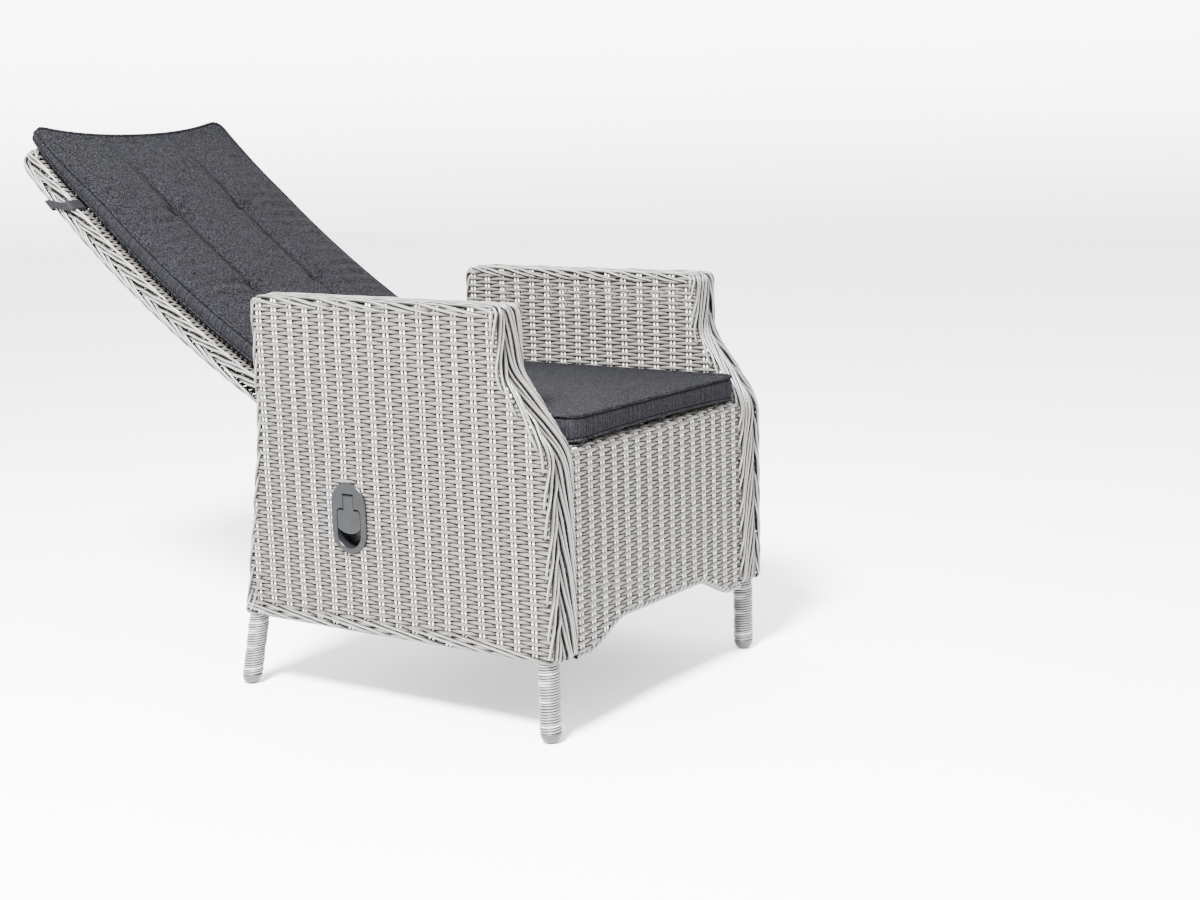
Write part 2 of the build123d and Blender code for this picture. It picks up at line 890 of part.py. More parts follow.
def release_head():
    """The block on the rod's end that holds the release pin and the crank's ears."""
    block = box_between(
        (-head_width / 2, head_front, -head_width / 2), (head_width / 2, head_rear_reach, head_width / 2)
    )
    long_edges = block.edges().filter_by(Axis.Y)
    block = fillet(long_edges, radius=head_corner_radius)
    ear_half = crank_width / 2
    ear_low = crank_y - ear_half
    ears = box_between(
        (crank_offset - ear_half, ear_low, -ear_half_height),
        (crank_offset + ear_half, head_front + ear_root, ear_half_height),
    )
    crank_space = crank_thickness + 2 * fit_gap
    slot = box_between(
        (-head_width, ear_low - overrun, -crank_space / 2),
        (head_width, head_front, crank_space / 2),
    )
    pin_bore = rod_between(
        (0, head_front - overrun, 0),
        (0, head_front + release_pin_seat + release_pin_room, 0),
        release_pin_diameter + 2 * running_clearance,
    )
    head = block + (ears - slot) - pin_bore
    head -= x_rod(0, 0, -head_width, head_width, spring_pin_diameter + 2 * running_clearance)
    head -= rod_between(
        (crank_offset, crank_y, -head_width),
        (crank_offset, crank_y, head_width),
        crank_pin_diameter + 2 * hole_clearance,
    )
    return spring_place * head


def crank_pin():
    reach = ear_half_height + crank_pin_end
    pin = rod_between((crank_offset, crank_y, -reach), (crank_offset, crank_y, reach), crank_pin_diameter)
    return spring_place * pin


def release_crank():
    """A bell crank: the fork on one arm takes the wire, the other arm presses the release pin."""
    hub = Pos(crank_offset, crank_y) * Circle(crank_width / 2)
    tip = Pos(crank_offset, arm_end_y) * Circle(crank_width / 2)
    nose = Pos(0, crank_y + crank_nose_lead) * Circle(crank_nose_radius)
    sketch = make_hull(hub.edges() + tip.edges()) + make_hull(hub.edges() + nose.edges())
    crank = Pos(0, 0, -crank_thickness / 2) * extrude(sketch, amount=crank_thickness)
    crank -= rod_between(
        (crank_offset, crank_y, -crank_thickness),
        (crank_offset, crank_y, crank_thickness),
        crank_pin_diameter + 2 * running_clearance,
    )
    crank += box_between(
        (crank_offset - crank_width / 2, arm_end_y - crank_width / 2, -fork_low),
        (crank_offset + crank_width / 2, arm_end_y + crank_width / 2, fork_high),
    )
    crank -= box_between(
        (crank_offset - crank_width, arm_end_y - crank_width, -fork_slot_low),
        (crank_offset + crank_width, arm_end_y + fork_slot_depth, fork_slot_high),
    )
    return spring_place * crank


def release_pin():
    """The pin that opens the spring's valve, sliding in the head."""
    nose_edge = crank_y + crank_nose_lead + crank_nose_radius
    start = nose_edge + fit_gap
    end = head_front + release_pin_seat
    return spring_place * rod_between((0, start, 0), (0, end, 0), release_pin_diameter)


# Where the flap, its pin and the pulled end of the wire sit in the arm

cup_rear_x = outer_skin_x + cup_depth
opening_top = plate_height / 2 - opening_margin
opening_low = -plate_height / 2 + well_margin
paddle_top = opening_top - stem_height
flap_bottom = paddle_top - paddle_height
flap_face_x = outer_skin_x - fit_gap - plate_thickness + flap_gap
flap_pin_x = flap_face_x + flap_thickness / 2
flap_pin_z = plate_z + opening_top - flap_pin_margin
wire_z = flap_pin_z - pull_arm
pull_x = flap_pin_x + pull_reach


def world_of_spring(x, y, z):
    """A point given along the spring, in the chair's own frame."""
    turn = math.radians(spring_angle(rest_end))
    return (
        x,
        spring_mount_y + y * math.cos(turn) - z * math.sin(turn),
        mount_z + y * math.sin(turn) + z * math.cos(turn),
    )


wire_point = world_of_spring(crank_offset, arm_end_y, 0)


def front_clevis():
    """Two ears under the middle rail. The right one reaches forward to stop the cable."""
    rail_bottom = seat_rail_top - rail_size
    foot_middle = rail_bottom - hole_clearance - clevis_plate_thickness / 2
    ear_top = Pos(spring_mount_y, foot_middle) * Rectangle(rail_size, clevis_plate_thickness)
    ear_low = Pos(spring_mount_y, mount_z) * Circle(eye_radius)
    ear = make_hull(ear_top.edges() + ear_low.edges())
    reach = Pos(wire_point[1], wire_point[2]) * Circle(tongue_radius)
    tongue = make_hull(reach.edges() + ear_low.edges())
    pin_hole = Pos(spring_mount_y, mount_z) * Circle(spring_pin_diameter / 2 + hole_clearance)
    barrel_hole = Pos(wire_point[1], wire_point[2]) * Circle(barrel_neck / 2 + hole_clearance)
    left = slab(ear - pin_hole, clevis_inner, clevis_outer)
    right = slab(ear + tongue - pin_hole - barrel_hole, -clevis_outer, -clevis_inner)
    foot = box_between(
        (-clevis_outer, spring_mount_y - rail_size / 2, rail_bottom - hole_clearance - clevis_plate_thickness),
        (clevis_outer, spring_mount_y + rail_size / 2, rail_bottom - hole_clearance),
    )
    return left + right + foot


barrel_flange_x = -clevis_outer - fit_gap


def cable_barrel():
    """The adjuster that stops the cable's sheath at the clevis."""
    y, z = wire_point[1], wire_point[2]
    barrel = x_rod(y, z, barrel_flange_x - barrel_length, barrel_flange_x, barrel_diameter)
    barrel += x_rod(y, z, barrel_flange_x, -clevis_inner + barrel_neck_reach, barrel_neck)
    barrel -= x_rod(y, z, barrel_flange_x - barrel_length, -clevis_inner + barrel_length, 2 * wire_diameter)
    socket = cable_diameter + 2 * fit_gap
    barrel -= x_rod(y, z, barrel_flange_x - barrel_length - overrun, barrel_flange_x - socket_floor, socket)
    return barrel


def cable_wire():
    """The two bare ends of the inner wire: a nipple in the flap's lug, and one beyond the crank's fork."""
    y, z = wire_point[1], wire_point[2]
    nipple_x = crank_offset + crank_width / 2 + nipple_gap
    crank_end = x_rod(y, z, barrel_flange_x, nipple_x, wire_diameter)
    crank_end += x_rod(y, z, nipple_x, nipple_x + nipple_length, nipple_diameter)
    flap_end = x_rod(plate_y, wire_z, pull_x, cup_rear_x - fit_gap, wire_diameter)
    low = (pull_x, plate_y - pull_nipple_length / 2, wire_z)
    high = (pull_x, plate_y + pull_nipple_length / 2, wire_z)
    flap_end += rod_between(low, high, pull_nipple_diameter)
    return crank_end + flap_end


def cable_route():
    """From the cup's back, through the arm's inner skin and across under the deck."""
    end_x = barrel_flange_x - socket_floor - fit_gap
    through = (-arm_inner_x - cable_hole_reach, plate_y - cable_hole_drift, wire_z + cable_hole_drift / 2)
    last = (end_x - cable_last_run, wire_point[1] + fit_gap, wire_point[2])
    route = [(cup_rear_x + fit_gap, plate_y, wire_z), through]
    for shares in cable_route_shares:
        route.append(tuple(a + share * (b - a) for a, b, share in zip(through, last, shares)))
    return route + [last, (end_x, wire_point[1], wire_point[2])]


def corner_radii(points):
    """Each bend is as large as its two runs allow."""
    radii = []
    for before, here, after in zip(points, points[1:], points[2:]):
        first = Vector(*here) - Vector(*before)
        second = Vector(*after) - Vector(*here)
        half_turn = math.radians(first.get_angle(second)) / 2
        radii.append(0.45 * min(first.length, second.length) / math.tan(half_turn))
    return radii


def bowden_cable():
    points = cable_route()
    radii = corner_radii(points)
    print("cable radii", [round(radius) for radius in radii])
    path = FilletPolyline(*points, radius=radii)
    section = Plane(origin=path @ 0, z_dir=path % 0) * Circle(cable_diameter / 2)
    cable = sweep(section, path=path)
    expected = math.pi * (cable_diameter / 2) ** 2 * path.length
    print("cable volume", round(cable.volume), "expected", round(expected), "length", round(path.length))
    return cable


# Flap handle in the sitter's right arm

def plate_rectangle(width, low, high):
    """A rectangle on the plate, from one height to another about the plate's middle."""
    return Pos(plate_y, plate_z + (low + high) / 2) * Rectangle(width, high - low)


def lever_plate():
    """The moulded surround: an oval face with a bottle-shaped opening and a cup behind it."""
    face_x = outer_skin_x - fit_gap
    oval = slab(stadium(plate_width, plate_height), face_x - plate_thickness, face_x)
    front_edges = oval.faces().sort_by(Axis.X)[0].edges()
    oval = chamfer(front_edges, length=plate_bevel)
    cup = slab(stadium(cup_width, cup_height), face_x, cup_rear_x)
    opening = plate_rectangle(stem_width + 2 * flap_gap, paddle_top, opening_top)
    round_radius = cup_width / 2 - cup_wall
    round_middle = opening_low + round_radius
    low_round = Pos(plate_y, plate_z + round_middle) * Circle(round_radius)
    lower_top = paddle_top + opening_shoulder
    lower_foot = round_middle - opening_corner_radius
    lower = Pos(plate_y, plate_z + (lower_foot + lower_top) / 2) * RectangleRounded(
        paddle_width + 2 * flap_gap, lower_top - lower_foot, opening_corner_radius
    )
    opening = opening + lower + low_round
    body = oval + cup
    body -= slab(opening, face_x - plate_thickness - overrun, cup_rear_x - cup_wall)
    rim = body.faces().sort_by(Axis.X)[0].inner_wires()[0]
    body = chamfer(rim.edges(), length=opening_bevel)
    body -= rod_between(
        (flap_pin_x, plate_y - stem_width, flap_pin_z),
        (flap_pin_x, plate_y + stem_width, flap_pin_z),
        flap_pin_diameter + 2 * hole_clearance,
    )
    return body - x_rod(plate_y, wire_z, cup_rear_x - overrun, cup_rear_x + overrun, 2 * wire_diameter)


def pull_lug():
    """A lug on the flap's back with a slot for the wire's nipple, which rises as the flap turns."""
    back_x = flap_face_x + flap_thickness
    lug = box_between(
        (back_x - fit_gap, plate_y - pull_lug_width / 2, wire_z - pull_lug_height / 2),
        (back_x + pull_lug_depth, plate_y + pull_lug_width / 2, wire_z + pull_lug_height / 2),
    )
    lug -= box_between(
        (back_x, plate_y - wire_diameter, wire_z - pull_lug_height),
        (back_x + 2 * pull_lug_depth, plate_y + wire_diameter, wire_z + pull_lug_height),
    )
    seat = pull_nipple_diameter / 2 + fit_gap
    low = Pos(pull_x, wire_z) * Circle(seat)
    high = Pos(pull_x - pull_drift, wire_z + pull_rise) * Circle(seat)
    track = Plane.XZ * make_hull(low.edges() + high.edges())
    groove = extrude(track, amount=-(pull_nipple_length + 2 * fit_gap))
    return lug - Pos(0, plate_y - pull_nipple_length / 2 - fit_gap, 0) * groove


def lever_flap():
    """The flap: a narrow stem from the pin down to a wide paddle, with the wire's lug behind it."""
    stem = plate_rectangle(stem_width, paddle_top - paddle_corner_radius, opening_top - 2 * flap_gap)
    paddle = Pos(plate_y, plate_z + (paddle_top + flap_bottom) / 2) * RectangleRounded(
        paddle_width, paddle_height, paddle_corner_radius
    )
    paddle &= Pos(plate_y, plate_z + flap_bottom + paddle_lower_radius) * Circle(paddle_lower_radius)
    flap = slab(stem + paddle, flap_face_x, flap_face_x + flap_thickness)
    upper = flap.edges().filter_by(Axis.Y).sort_by(Axis.Z)[-2:]
    flap = fillet(upper, radius=flap_thickness / 2 - hole_clearance)
    flap += pull_lug()
    flap -= rod_between(
        (flap_pin_x, plate_y - paddle_width, flap_pin_z),
        (flap_pin_x, plate_y + paddle_width, flap_pin_z),
        flap_pin_diameter + 2 * running_clearance,
    )
    return flap


def flap_pin():
    reach = stem_width / 2 + flap_gap + flap_pin_bite
    return rod_between(
        (flap_pin_x, plate_y - reach, flap_pin_z), (flap_pin_x, plate_y + reach, flap_pin_z), flap_pin_diameter
    )


# Cushions: boxed, crowned and drawn in at the sides

def cushion_section(plane, half, base, side_height, crown, valley, sag):
    """A cross section: flat base, bulged sides, and one crown or three lobes that may sag."""
    low_left, low_right = (-half, base), (half, base)
    high_left, high_right = (-half, base + side_height), (half, base + side_height)
    bulge = cushion_side_bulge * side_height / seat_cushion_thickness
    left = ThreePointArc(low_left, (-half - bulge, base + side_height / 2), high_left)
    right = ThreePointArc(low_right, (half + bulge, base + side_height / 2), high_right)
    edges = [Line(low_left, low_right), left, right]
    if valley is None:
        quarter = crown * crown_quarter_share
        middle = (0, base + side_height + crown)
        edges.append(ThreePointArc(high_left, (-half / 2, base + side_height + quarter), middle))
        edges.append(ThreePointArc(middle, (half / 2, base + side_height + quarter), high_right))
    else:
        left_valley = (-tuft_x, base + side_height + valley - sag)
        right_valley = (tuft_x, base + side_height + valley - sag)
        outer_x = (half + tuft_x) / 2
        top = base + side_height + crown
        edges.append(ThreePointArc(high_left, (-outer_x, top - sag / 2), left_valley))
        edges.append(ThreePointArc(left_valley, (0, top - sag), right_valley))
        edges.append(ThreePointArc(right_valley, (outer_x, top - sag / 2), high_right))
    return plane * make_face(edges)


def edge_rounding(share):
    """How much of its thickness a cushion has, from one end to the other."""
    near_end = min(share, 1 - share) / cushion_end_share
    if near_end >= 1:
        return 1
    return cushion_end_height_share + (1 - cushion_end_height_share) * math.sqrt(1 - (1 - near_end) ** 2)


def crown_at(share):
    """How much of its crown a cushion has, from one end to the other."""
    return math.sin(math.pi * share) ** crown_rise_share if 0 < share < 1 else 0


def tuft_pull(along, tuft):
    """How far a tuft pulls the cover down, as a share of its depth."""
    distance = abs(along - tuft) / tuft_reach
    return (1 + math.cos(math.pi * distance)) / 2 if distance < 1 else 0


def seat_cushion():
    base = seat_height + cushion_gap
    half = arm_inner_x - seat_cushion_side_gap - cushion_side_bulge
    length = seat_cushion_rear - seat_cushion_front
    sections = []
    for share in cushion_station_shares:
        plane = Plane(origin=(0, seat_cushion_front + share * length, 0), x_dir=(1, 0, 0), z_dir=(0, -1, 0))
        edge = edge_rounding(share)
        height = seat_cushion_thickness * edge
        lift = base + (seat_cushion_thickness - height) / 2
        crown = seat_cushion_crown * crown_at(share) + fit_gap
        sections.append(cushion_section(plane, half, lift, height, crown, None, 0))
    return loft(sections, ruled=True)


def back_cushion():
    """Two tufts in each of two lengthwise channels draw the cushion in, and its top edge sags."""
    base = half_back + strap_thickness + 2 * cushion_gap
    half = back_width / 2 - back_cushion_inset
    start = back_cushion_lower_end
    length = bow_arc + back_cushion_overhang - start
    places = {start + share * length for share in cushion_station_shares}
    for tuft in (tuft_lower, tuft_upper):
        for step in tuft_step_shares:
            places.add(tuft + step * tuft_reach)
    sections = []
    for along in sorted(places):
        share = (along - start) / length
        height = back_cushion_thickness * edge_rounding(share)
        lift = base + (back_cushion_thickness - height) / 2
        swell = crown_at(share)
        crown = back_cushion_crown * swell + 2 * fit_gap
        dip = channel_depth * swell + tuft_depth * (tuft_pull(along, tuft_lower) + tuft_pull(along, tuft_upper))
        valley = crown - dip - fit_gap
        near_top = max(0, 1 - (start + length - along) / back_cushion_sag_reach)
        sag = back_cushion_top_sag * near_top**2
        plane = bow_plane(along)
        sections.append(cushion_section(plane, half, lift, height, crown, valley, sag))
    return rest_place * loft(sections, ruled=True)


def cushion_strap():
    """An elastic strap round the panel, sewn to the cushion's back near both edges."""
    low = bow_arc - strap_drop
    high = low + strap_width
    clear = cushion_gap / 2
    inner = half_back + clear
    outer = inner + strap_thickness
    reach = back_width / 2 + clear
    ring = bow_strip(low, high, -outer, outer)
    hole = bow_strip(low - overrun, high + overrun, -inner, inner)
    strap = slab(ring, -reach - strap_thickness, reach + strap_thickness)
    strap -= slab(hole, -reach, reach)
    front = bow_strip(low - overrun, high + overrun, 0, outer + overrun)
    return rest_place * (strap - slab(front, -reach + strap_return, reach - strap_return))


# The pieces, by name

right_pieces = {
    "arm_frame": arm_frame(),
    "arm_skin_inner": arm_skin_inner(False),
    "arm_skin_outer": arm_skin_outer(False),
    "arm_braid": arm_braid(),
    "seat_side_rail": seat_side_rail(),
    "deck_bar_front": deck_bar(-deck_bar_x, True),
    "deck_bar_rear": deck_bar(-deck_bar_x, False),
    "leg_wrap_front": leg_wrap(True),
    "leg_wrap_rear": leg_wrap(False),
    "foot_cap_front": foot_cap(True),
    "foot_cap_rear": foot_cap(False),
}

pieces = {}
for name, piece in right_pieces.items():
    pieces[name + "_right"] = piece
    pieces[name + "_left"] = other_side(piece)
pieces["arm_skin_outer_right"] = arm_skin_outer(True)
pieces["arm_skin_inner_right"] = arm_skin_inner(True)

pieces.update({
    "seat_front_rail": seat_front_rail(),
    "seat_middle_rail": seat_middle_rail(),
    "seat_rear_rail": seat_rear_rail(),
    "seat_deck": seat_deck(),
    "seat_bolts": seat_bolts(),
    "apron_weave": apron_weave(),
    "apron_braid": apron_braid(),
    "apron_frame": apron_frame(),
    "pivot_bolts": pivot_bolts(),
    "pivot_spacers": pivot_spacers(),
    "pivot_bushes": pivot_bushes(),
    "back_frame": back_frame(),
    "back_skin_front": back_skin(skin_low, skin_high) - bracket_space(),
    "back_skin_rear": back_skin(-skin_high, -skin_low) - bracket_space(),
    "back_braid": back_braid(),
    "recline_bracket": recline_bracket(),
    "gas_cylinder": gas_cylinder(),
    "gas_rod": gas_rod(),
    "gas_eye": gas_eye(),
    "spring_pin_rear": rear_spring_pin(),
    "spring_pin_front": front_spring_pin(),
    "front_clevis": front_clevis(),
    "release_head": release_head(),
    "release_pin": release_pin(),
    "release_crank": release_crank(),
    "crank_pin": crank_pin(),
    "cable_barrel": cable_barrel(),
    "cable_wire": cable_wire(),
    "bowden_cable": bowden_cable(),
    "lever_plate": lever_plate(),
    "lever_flap": lever_flap(),
    "flap_pin": flap_pin(),
    "seat_cushion": seat_cushion(),
    "back_cushion": back_cushion(),
    "cushion_strap": cushion_strap(),
})

boxes = [piece.bounding_box() for piece in pieces.values()]
y_middle = (min(box.min.Y for box in boxes) + max(box.max.Y for box in boxes)) / 2
to_origin = Pos(0, -y_middle, 0)

os.makedirs("parts", exist_ok=True)
for name, piece in pieces.items():
    export_step(to_origin * piece, f"parts/{name}.step")

print("y_middle", y_middle)
print("back pivot", (0, pivot_y - y_middle, pivot_z))
print("spring mount", (0, spring_mount_y - y_middle, mount_z), "angle", spring_angle(rest_end))
print("stroke", stroke, "swing", swing)
crank_world = world_of_spring(crank_offset, crank_y, 0)
print("crank pivot", (crank_world[0], crank_world[1] - y_middle, crank_world[2]))
print("flap pivot", (flap_pin_x, plate_y - y_middle, flap_pin_z))
print("crank throw", crank_throw, "wire pull", crank_arm * math.sin(math.radians(crank_throw)))
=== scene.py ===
import bmesh
import bpy
import json
import math
import random
import numpy as np
from mathutils import Matrix, Vector


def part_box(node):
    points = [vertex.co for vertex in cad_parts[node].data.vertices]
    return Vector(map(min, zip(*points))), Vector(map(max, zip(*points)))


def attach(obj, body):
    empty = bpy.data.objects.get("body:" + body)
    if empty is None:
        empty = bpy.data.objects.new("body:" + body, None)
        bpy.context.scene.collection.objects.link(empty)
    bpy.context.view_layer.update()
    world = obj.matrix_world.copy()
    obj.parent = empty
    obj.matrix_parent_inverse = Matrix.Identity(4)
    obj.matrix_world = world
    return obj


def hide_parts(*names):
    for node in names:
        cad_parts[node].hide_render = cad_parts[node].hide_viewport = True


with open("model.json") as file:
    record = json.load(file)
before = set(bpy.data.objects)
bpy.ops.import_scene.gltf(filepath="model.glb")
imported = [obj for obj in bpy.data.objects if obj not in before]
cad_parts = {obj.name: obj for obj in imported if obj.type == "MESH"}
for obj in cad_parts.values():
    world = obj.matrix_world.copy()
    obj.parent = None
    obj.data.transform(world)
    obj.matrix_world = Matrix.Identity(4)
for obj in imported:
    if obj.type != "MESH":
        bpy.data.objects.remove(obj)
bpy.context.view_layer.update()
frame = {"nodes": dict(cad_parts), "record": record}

scene = bpy.context.scene


# The strand
# Every woven face is made of one extruded half-round strand in warm light grey, with
# darker streaks drawn out along its length and a satin skin. Painted shade darkens its
# low sides and a painted highlight runs along its top. The upright stakes are the same
# strand, round and nearly white.

class Socket:
    """A shader value that can be added, multiplied and mixed like a number."""

    def __init__(self, tree, output):
        self.tree = tree
        self.output = output

    def node(self, kind, settings=None, out=0, **inputs):
        made = self.tree.nodes.new(kind)
        for key, value in (settings or {}).items():
            setattr(made, key, value)
        for key, value in inputs.items():
            name = key.replace("_", " ")
            target = made.inputs[int(key[1:])] if key[1:].isdigit() else made.inputs[name]
            if isinstance(value, Socket):
                self.tree.links.new(value.output, target)
            else:
                target.default_value = value
        return Socket(self.tree, made.outputs[out])

    def math(self, operation, other=0.0, third=0.0):
        return self.node("ShaderNodeMath", {"operation": operation}, i0=self, i1=other, i2=third)

    def __add__(self, other):
        return self.math("ADD", other)

    __radd__ = __add__

    def __sub__(self, other):
        return self.math("SUBTRACT", other)

    def __rsub__(self, other):
        return self.math("MULTIPLY", -1.0).math("ADD", other)

    def __mul__(self, other):
        return self.math("MULTIPLY", other)

    __rmul__ = __mul__

    def between(self, low, high):
        """Nought below low, one above high, and smooth between."""
        spread = {"interpolation_type": "SMOOTHSTEP"}
        return self.node("ShaderNodeMapRange", spread, Value=self, From_Min=low, From_Max=high)

    def attribute(self, name):
        """A vector that the mesh holds at its points."""
        return self.node("ShaderNodeAttribute", {"attribute_name": name}, out=1)

    def axis(self, number):
        return self.node("ShaderNodeSeparateXYZ", out=number, i0=self)

    def scaled(self, factors):
        """A position with its three coordinates multiplied."""
        return self.node("ShaderNodeVectorMath", {"operation": "MULTIPLY"}, i0=self, i1=factors)

    def mix(self, first, second):
        """The first colour where this value is nought, the second where it is one."""
        first, second = ((*end, 1) if isinstance(end, tuple) else end for end in (first, second))
        settings = {"data_type": "RGBA"}
        return self.node("ShaderNodeMix", settings, out=2, i0=self, i6=first, i7=second)

    def noise(self, scale, detail=2.0, roughness=0.5):
        return self.node(
            "ShaderNodeTexNoise", Vector=self, Scale=scale, Detail=detail, Roughness=roughness
        )

    def bump(self, strength, distance):
        return self.node("ShaderNodeBump", Height=self, Strength=strength, Distance=distance)


def material(name, build, **constants):
    """A surface whose colour, roughness and bump come from build(start)."""
    made = bpy.data.materials.new(name)
    made.use_nodes = True
    tree = made.node_tree
    surface = tree.nodes["Principled BSDF"]
    for key, value in constants.items():
        surface.inputs[key.replace("_", " ")].default_value = value
    place = tree.nodes.new("ShaderNodeTexCoord")
    start = Socket(tree, place.outputs["Object"])
    for key, value in build(start).items():
        tree.links.new(value.output, surface.inputs[key.replace("_", " ")])
    return made


def strand_look(light, dark, painted_shade, streaks, low_sides, roughness=0.36, crest_highlight=0.0):
    """Streaks run along the strand, and painted shade darkens its low sides.

    The attribute run holds the length along the strand, its number, and how high each
    point stands, lowered by painted shade where the strand lies deep or faces down.
    streaks and low_sides are the limits between which a streak and the painted shade
    set in, and crest_highlight is how pale the painted highlight along the top is.
    """
    def build(start):
        run = start.attribute("run")
        streak = run.scaled((38.0, 2.2, 0.0)).noise(1.0, 4.0, 0.62).between(*streaks)
        fine = run.scaled((160.0, 9.0, 0.0)).noise(1.0, 3.0, 0.7)
        tone = run.scaled((0.0, 0.43, 0.0)).noise(3.1, 0.0)
        height = run.axis(2)
        # Painted highlight: the top of the strand is paler, standing in for the light it catches.
        painted_highlight = height.between(0.88, 1.0) * crest_highlight
        colour = (streak * 0.75 + fine * 0.25).mix(dark, light)
        shade = (tone.between(0.3, 0.7) * 0.5).mix(colour, dark)
        blotch = start.noise(7.0, 2.0).between(0.35, 0.75) * 0.15
        unshaded = painted_highlight.mix(blotch.mix(shade, dark), (0.42, 0.42, 0.42))
        # Painted shade: the strand's low sides, its underside and its deep parts are mixed to a
        # dark colour.
        return {
            "Base_Color": height.between(*low_sides).mix(unshaded, painted_shade),
            "Roughness": fine * 0.22 + roughness,
            "Normal": (streak * 0.4 + fine * 0.6).bump(0.35, 0.0004),
        }
    return build


# The strand's darkest colour is painted shade for its low sides and recesses, and its last value a
# painted highlight along the top.
strand = material(
    "strand",
    strand_look(
        light=(0.114, 0.110, 0.105), dark=(0.054, 0.049, 0.044), painted_shade=(0.016, 0.013, 0.011),
        streaks=(0.36, 0.58), low_sides=(0.72, -0.30), roughness=0.34, crest_highlight=0.10,
    ),
    IOR=1.48, Specular_IOR_Level=0.30,
)
# The stakes' darkest colour is painted shade on their low sides.
stake_strand = material(
    "stake_strand",
    strand_look(
        light=(0.56, 0.56, 0.555), dark=(0.36, 0.355, 0.345), painted_shade=(0.08, 0.075, 0.07),
        streaks=(0.3, 0.5), low_sides=(0.1, -0.8),
    ),
    IOR=1.5, Specular_IOR_Level=0.4,
)


def piece(name, points, faces, surface, body, *nodes, run=None, turn_out=False):
    """One mesh piece that rides on a body and stands for the named nodes."""
    mesh = bpy.data.meshes.new(name)
    mesh.from_pydata([tuple(point) for point in points], [], faces)
    mesh.materials.append(surface)
    if turn_out:
        shell = bmesh.new()
        shell.from_mesh(mesh)
        bmesh.ops.recalc_face_normals(shell, faces=shell.faces)
        shell.to_mesh(mesh)
        shell.free()
    if run is not None:
        place = mesh.attributes.new("run", "FLOAT_VECTOR", "POINT")
        place.data.foreach_set("vector", np.asarray(run, np.float32).ravel())
    mesh.shade_smooth()
    made = bpy.data.objects.new(name, mesh)
    scene.collection.objects.link(made)
    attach(made, body)
    if nodes:
        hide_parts(*nodes)
    return made


def ring_faces(rings, sides, base=0, ends=True):
    """Faces of a tube made of rings of points, with its two ends closed or joined."""
    faces = []
    for i in range(rings - 1 if ends else rings):
        a, b = base + i * sides, base + (i + 1) % rings * sides
        for k in range(sides):
            n = (k + 1) % sides
            faces.append((a + k, a + n, b + n, b + k))
    if ends:
        faces.append(tuple(base + k for k in reversed(range(sides))))
        faces.append(tuple(base + (rings - 1) * sides + k for k in range(sides)))
    return faces


def distances(line):
    """How far each point of a line is from its start."""
    step = np.linalg.norm(np.diff(line, axis=0), axis=1)
    return np.concatenate([[0], np.cumsum(step)])


class Strands:
    """Gathers many strands into one mesh, each a closed section drawn along its path."""

    def __init__(self, section):
        self.section = np.array(section, float)
        self.points, self.faces, self.run = [], [], []
        self.total = self.number = 0

    def add(self, path, outward, width, thickness, depth=0.0):
        """A path of points, the direction the dome faces at each, and how much painted shade it
        takes for lying deep.
        """
        count, sides = len(path), len(self.section)
        side, height = self.section[None, :, :1], self.section[None, :, 1:]
        along = np.gradient(path, axis=0)
        along /= np.linalg.norm(along, axis=1)[:, None] + 1e-12
        across = np.cross(along, np.broadcast_to(outward, path.shape))
        across /= np.linalg.norm(across, axis=1)[:, None] + 1e-12
        up = np.cross(across, along)
        width = np.broadcast_to(width, count)[:, None, None]
        thickness = np.broadcast_to(thickness, count)[:, None, None]
        ring = path[:, None, :] + across[:, None, :] * side * width / 2
        ring = ring + up[:, None, :] * height * thickness / 2
        underside = np.clip(-across[:, None, 2] * side[:, :, 0], 0, 1)
        length_apart, number_apart, underside_shade = 0.37, 3.0, 0.6
        run = np.zeros((count, sides, 3))
        run[:, :, 0] = distances(path)[:, None] + self.number * length_apart
        run[:, :, 1] = side[:, :, 0] + self.number * number_apart
        # Painted shade: the height the colour reads is lowered where the strand lies deep and on
        # its side that faces down.
        run[:, :, 2] = height[:, :, 0] - np.broadcast_to(depth, count)[:, None]
        run[:, :, 2] -= underside_shade * underside**2
        self.faces += ring_faces(count, sides, self.total)
        self.points.append(ring.reshape(-1, 3))
        self.run.append(run.reshape(-1, 3))
        self.total += count * sides
        self.number += 1

    def finish(self, name, surface, body, *nodes):
        points, run = np.concatenate(self.points), np.concatenate(self.run)
        return piece(name, points, self.faces, surface, body, *nodes, run=run)


domed_section = [
    (-1, -0.6), (-0.92, 0.15), (-0.58, 0.78), (0, 1), (0.58, 0.78), (0.92, 0.15), (1, -0.6),
]
flat_section = [(-1, -0.7), (-0.55, 0.9), (0.55, 0.9), (1, -0.7)]
round_turns = np.linspace(0, 2 * math.pi, 6, endpoint=False) - 0.5
round_section = [(math.cos(turn), math.sin(turn)) for turn in round_turns]


# Arms: the woven faces
# Each arm is a flat frame skinned on both faces with a plain weave. Pairs of round
# stakes stand upright 32.6 mm apart, and the strand passes over one pair and under
# the next. The outer right face has the release plate let into it.

plate_y, plate_z = 0.059, 0.309
plate_radius, plate_half_height = 0.0325, 0.054
plate_straight = plate_half_height - plate_radius
lever_low, lever_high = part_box("lever_plate")
# From the drawing's Y to the frame's.
drawing_shift = (lever_low.y + lever_high.y) / 2 - plate_y
both_sides = ("right", -1), ("left", 1)
stake_spacing = 0.0326
arm_first_stake = -0.2902
row_pitch = 0.0061
strand_width = 0.0061
strand_thickness = 0.0036
stake_diameter = 0.0038
stake_pair = 0.0066
weave_swing = 0.0026
weave_rise = 0.30
weave_shade = 0.42


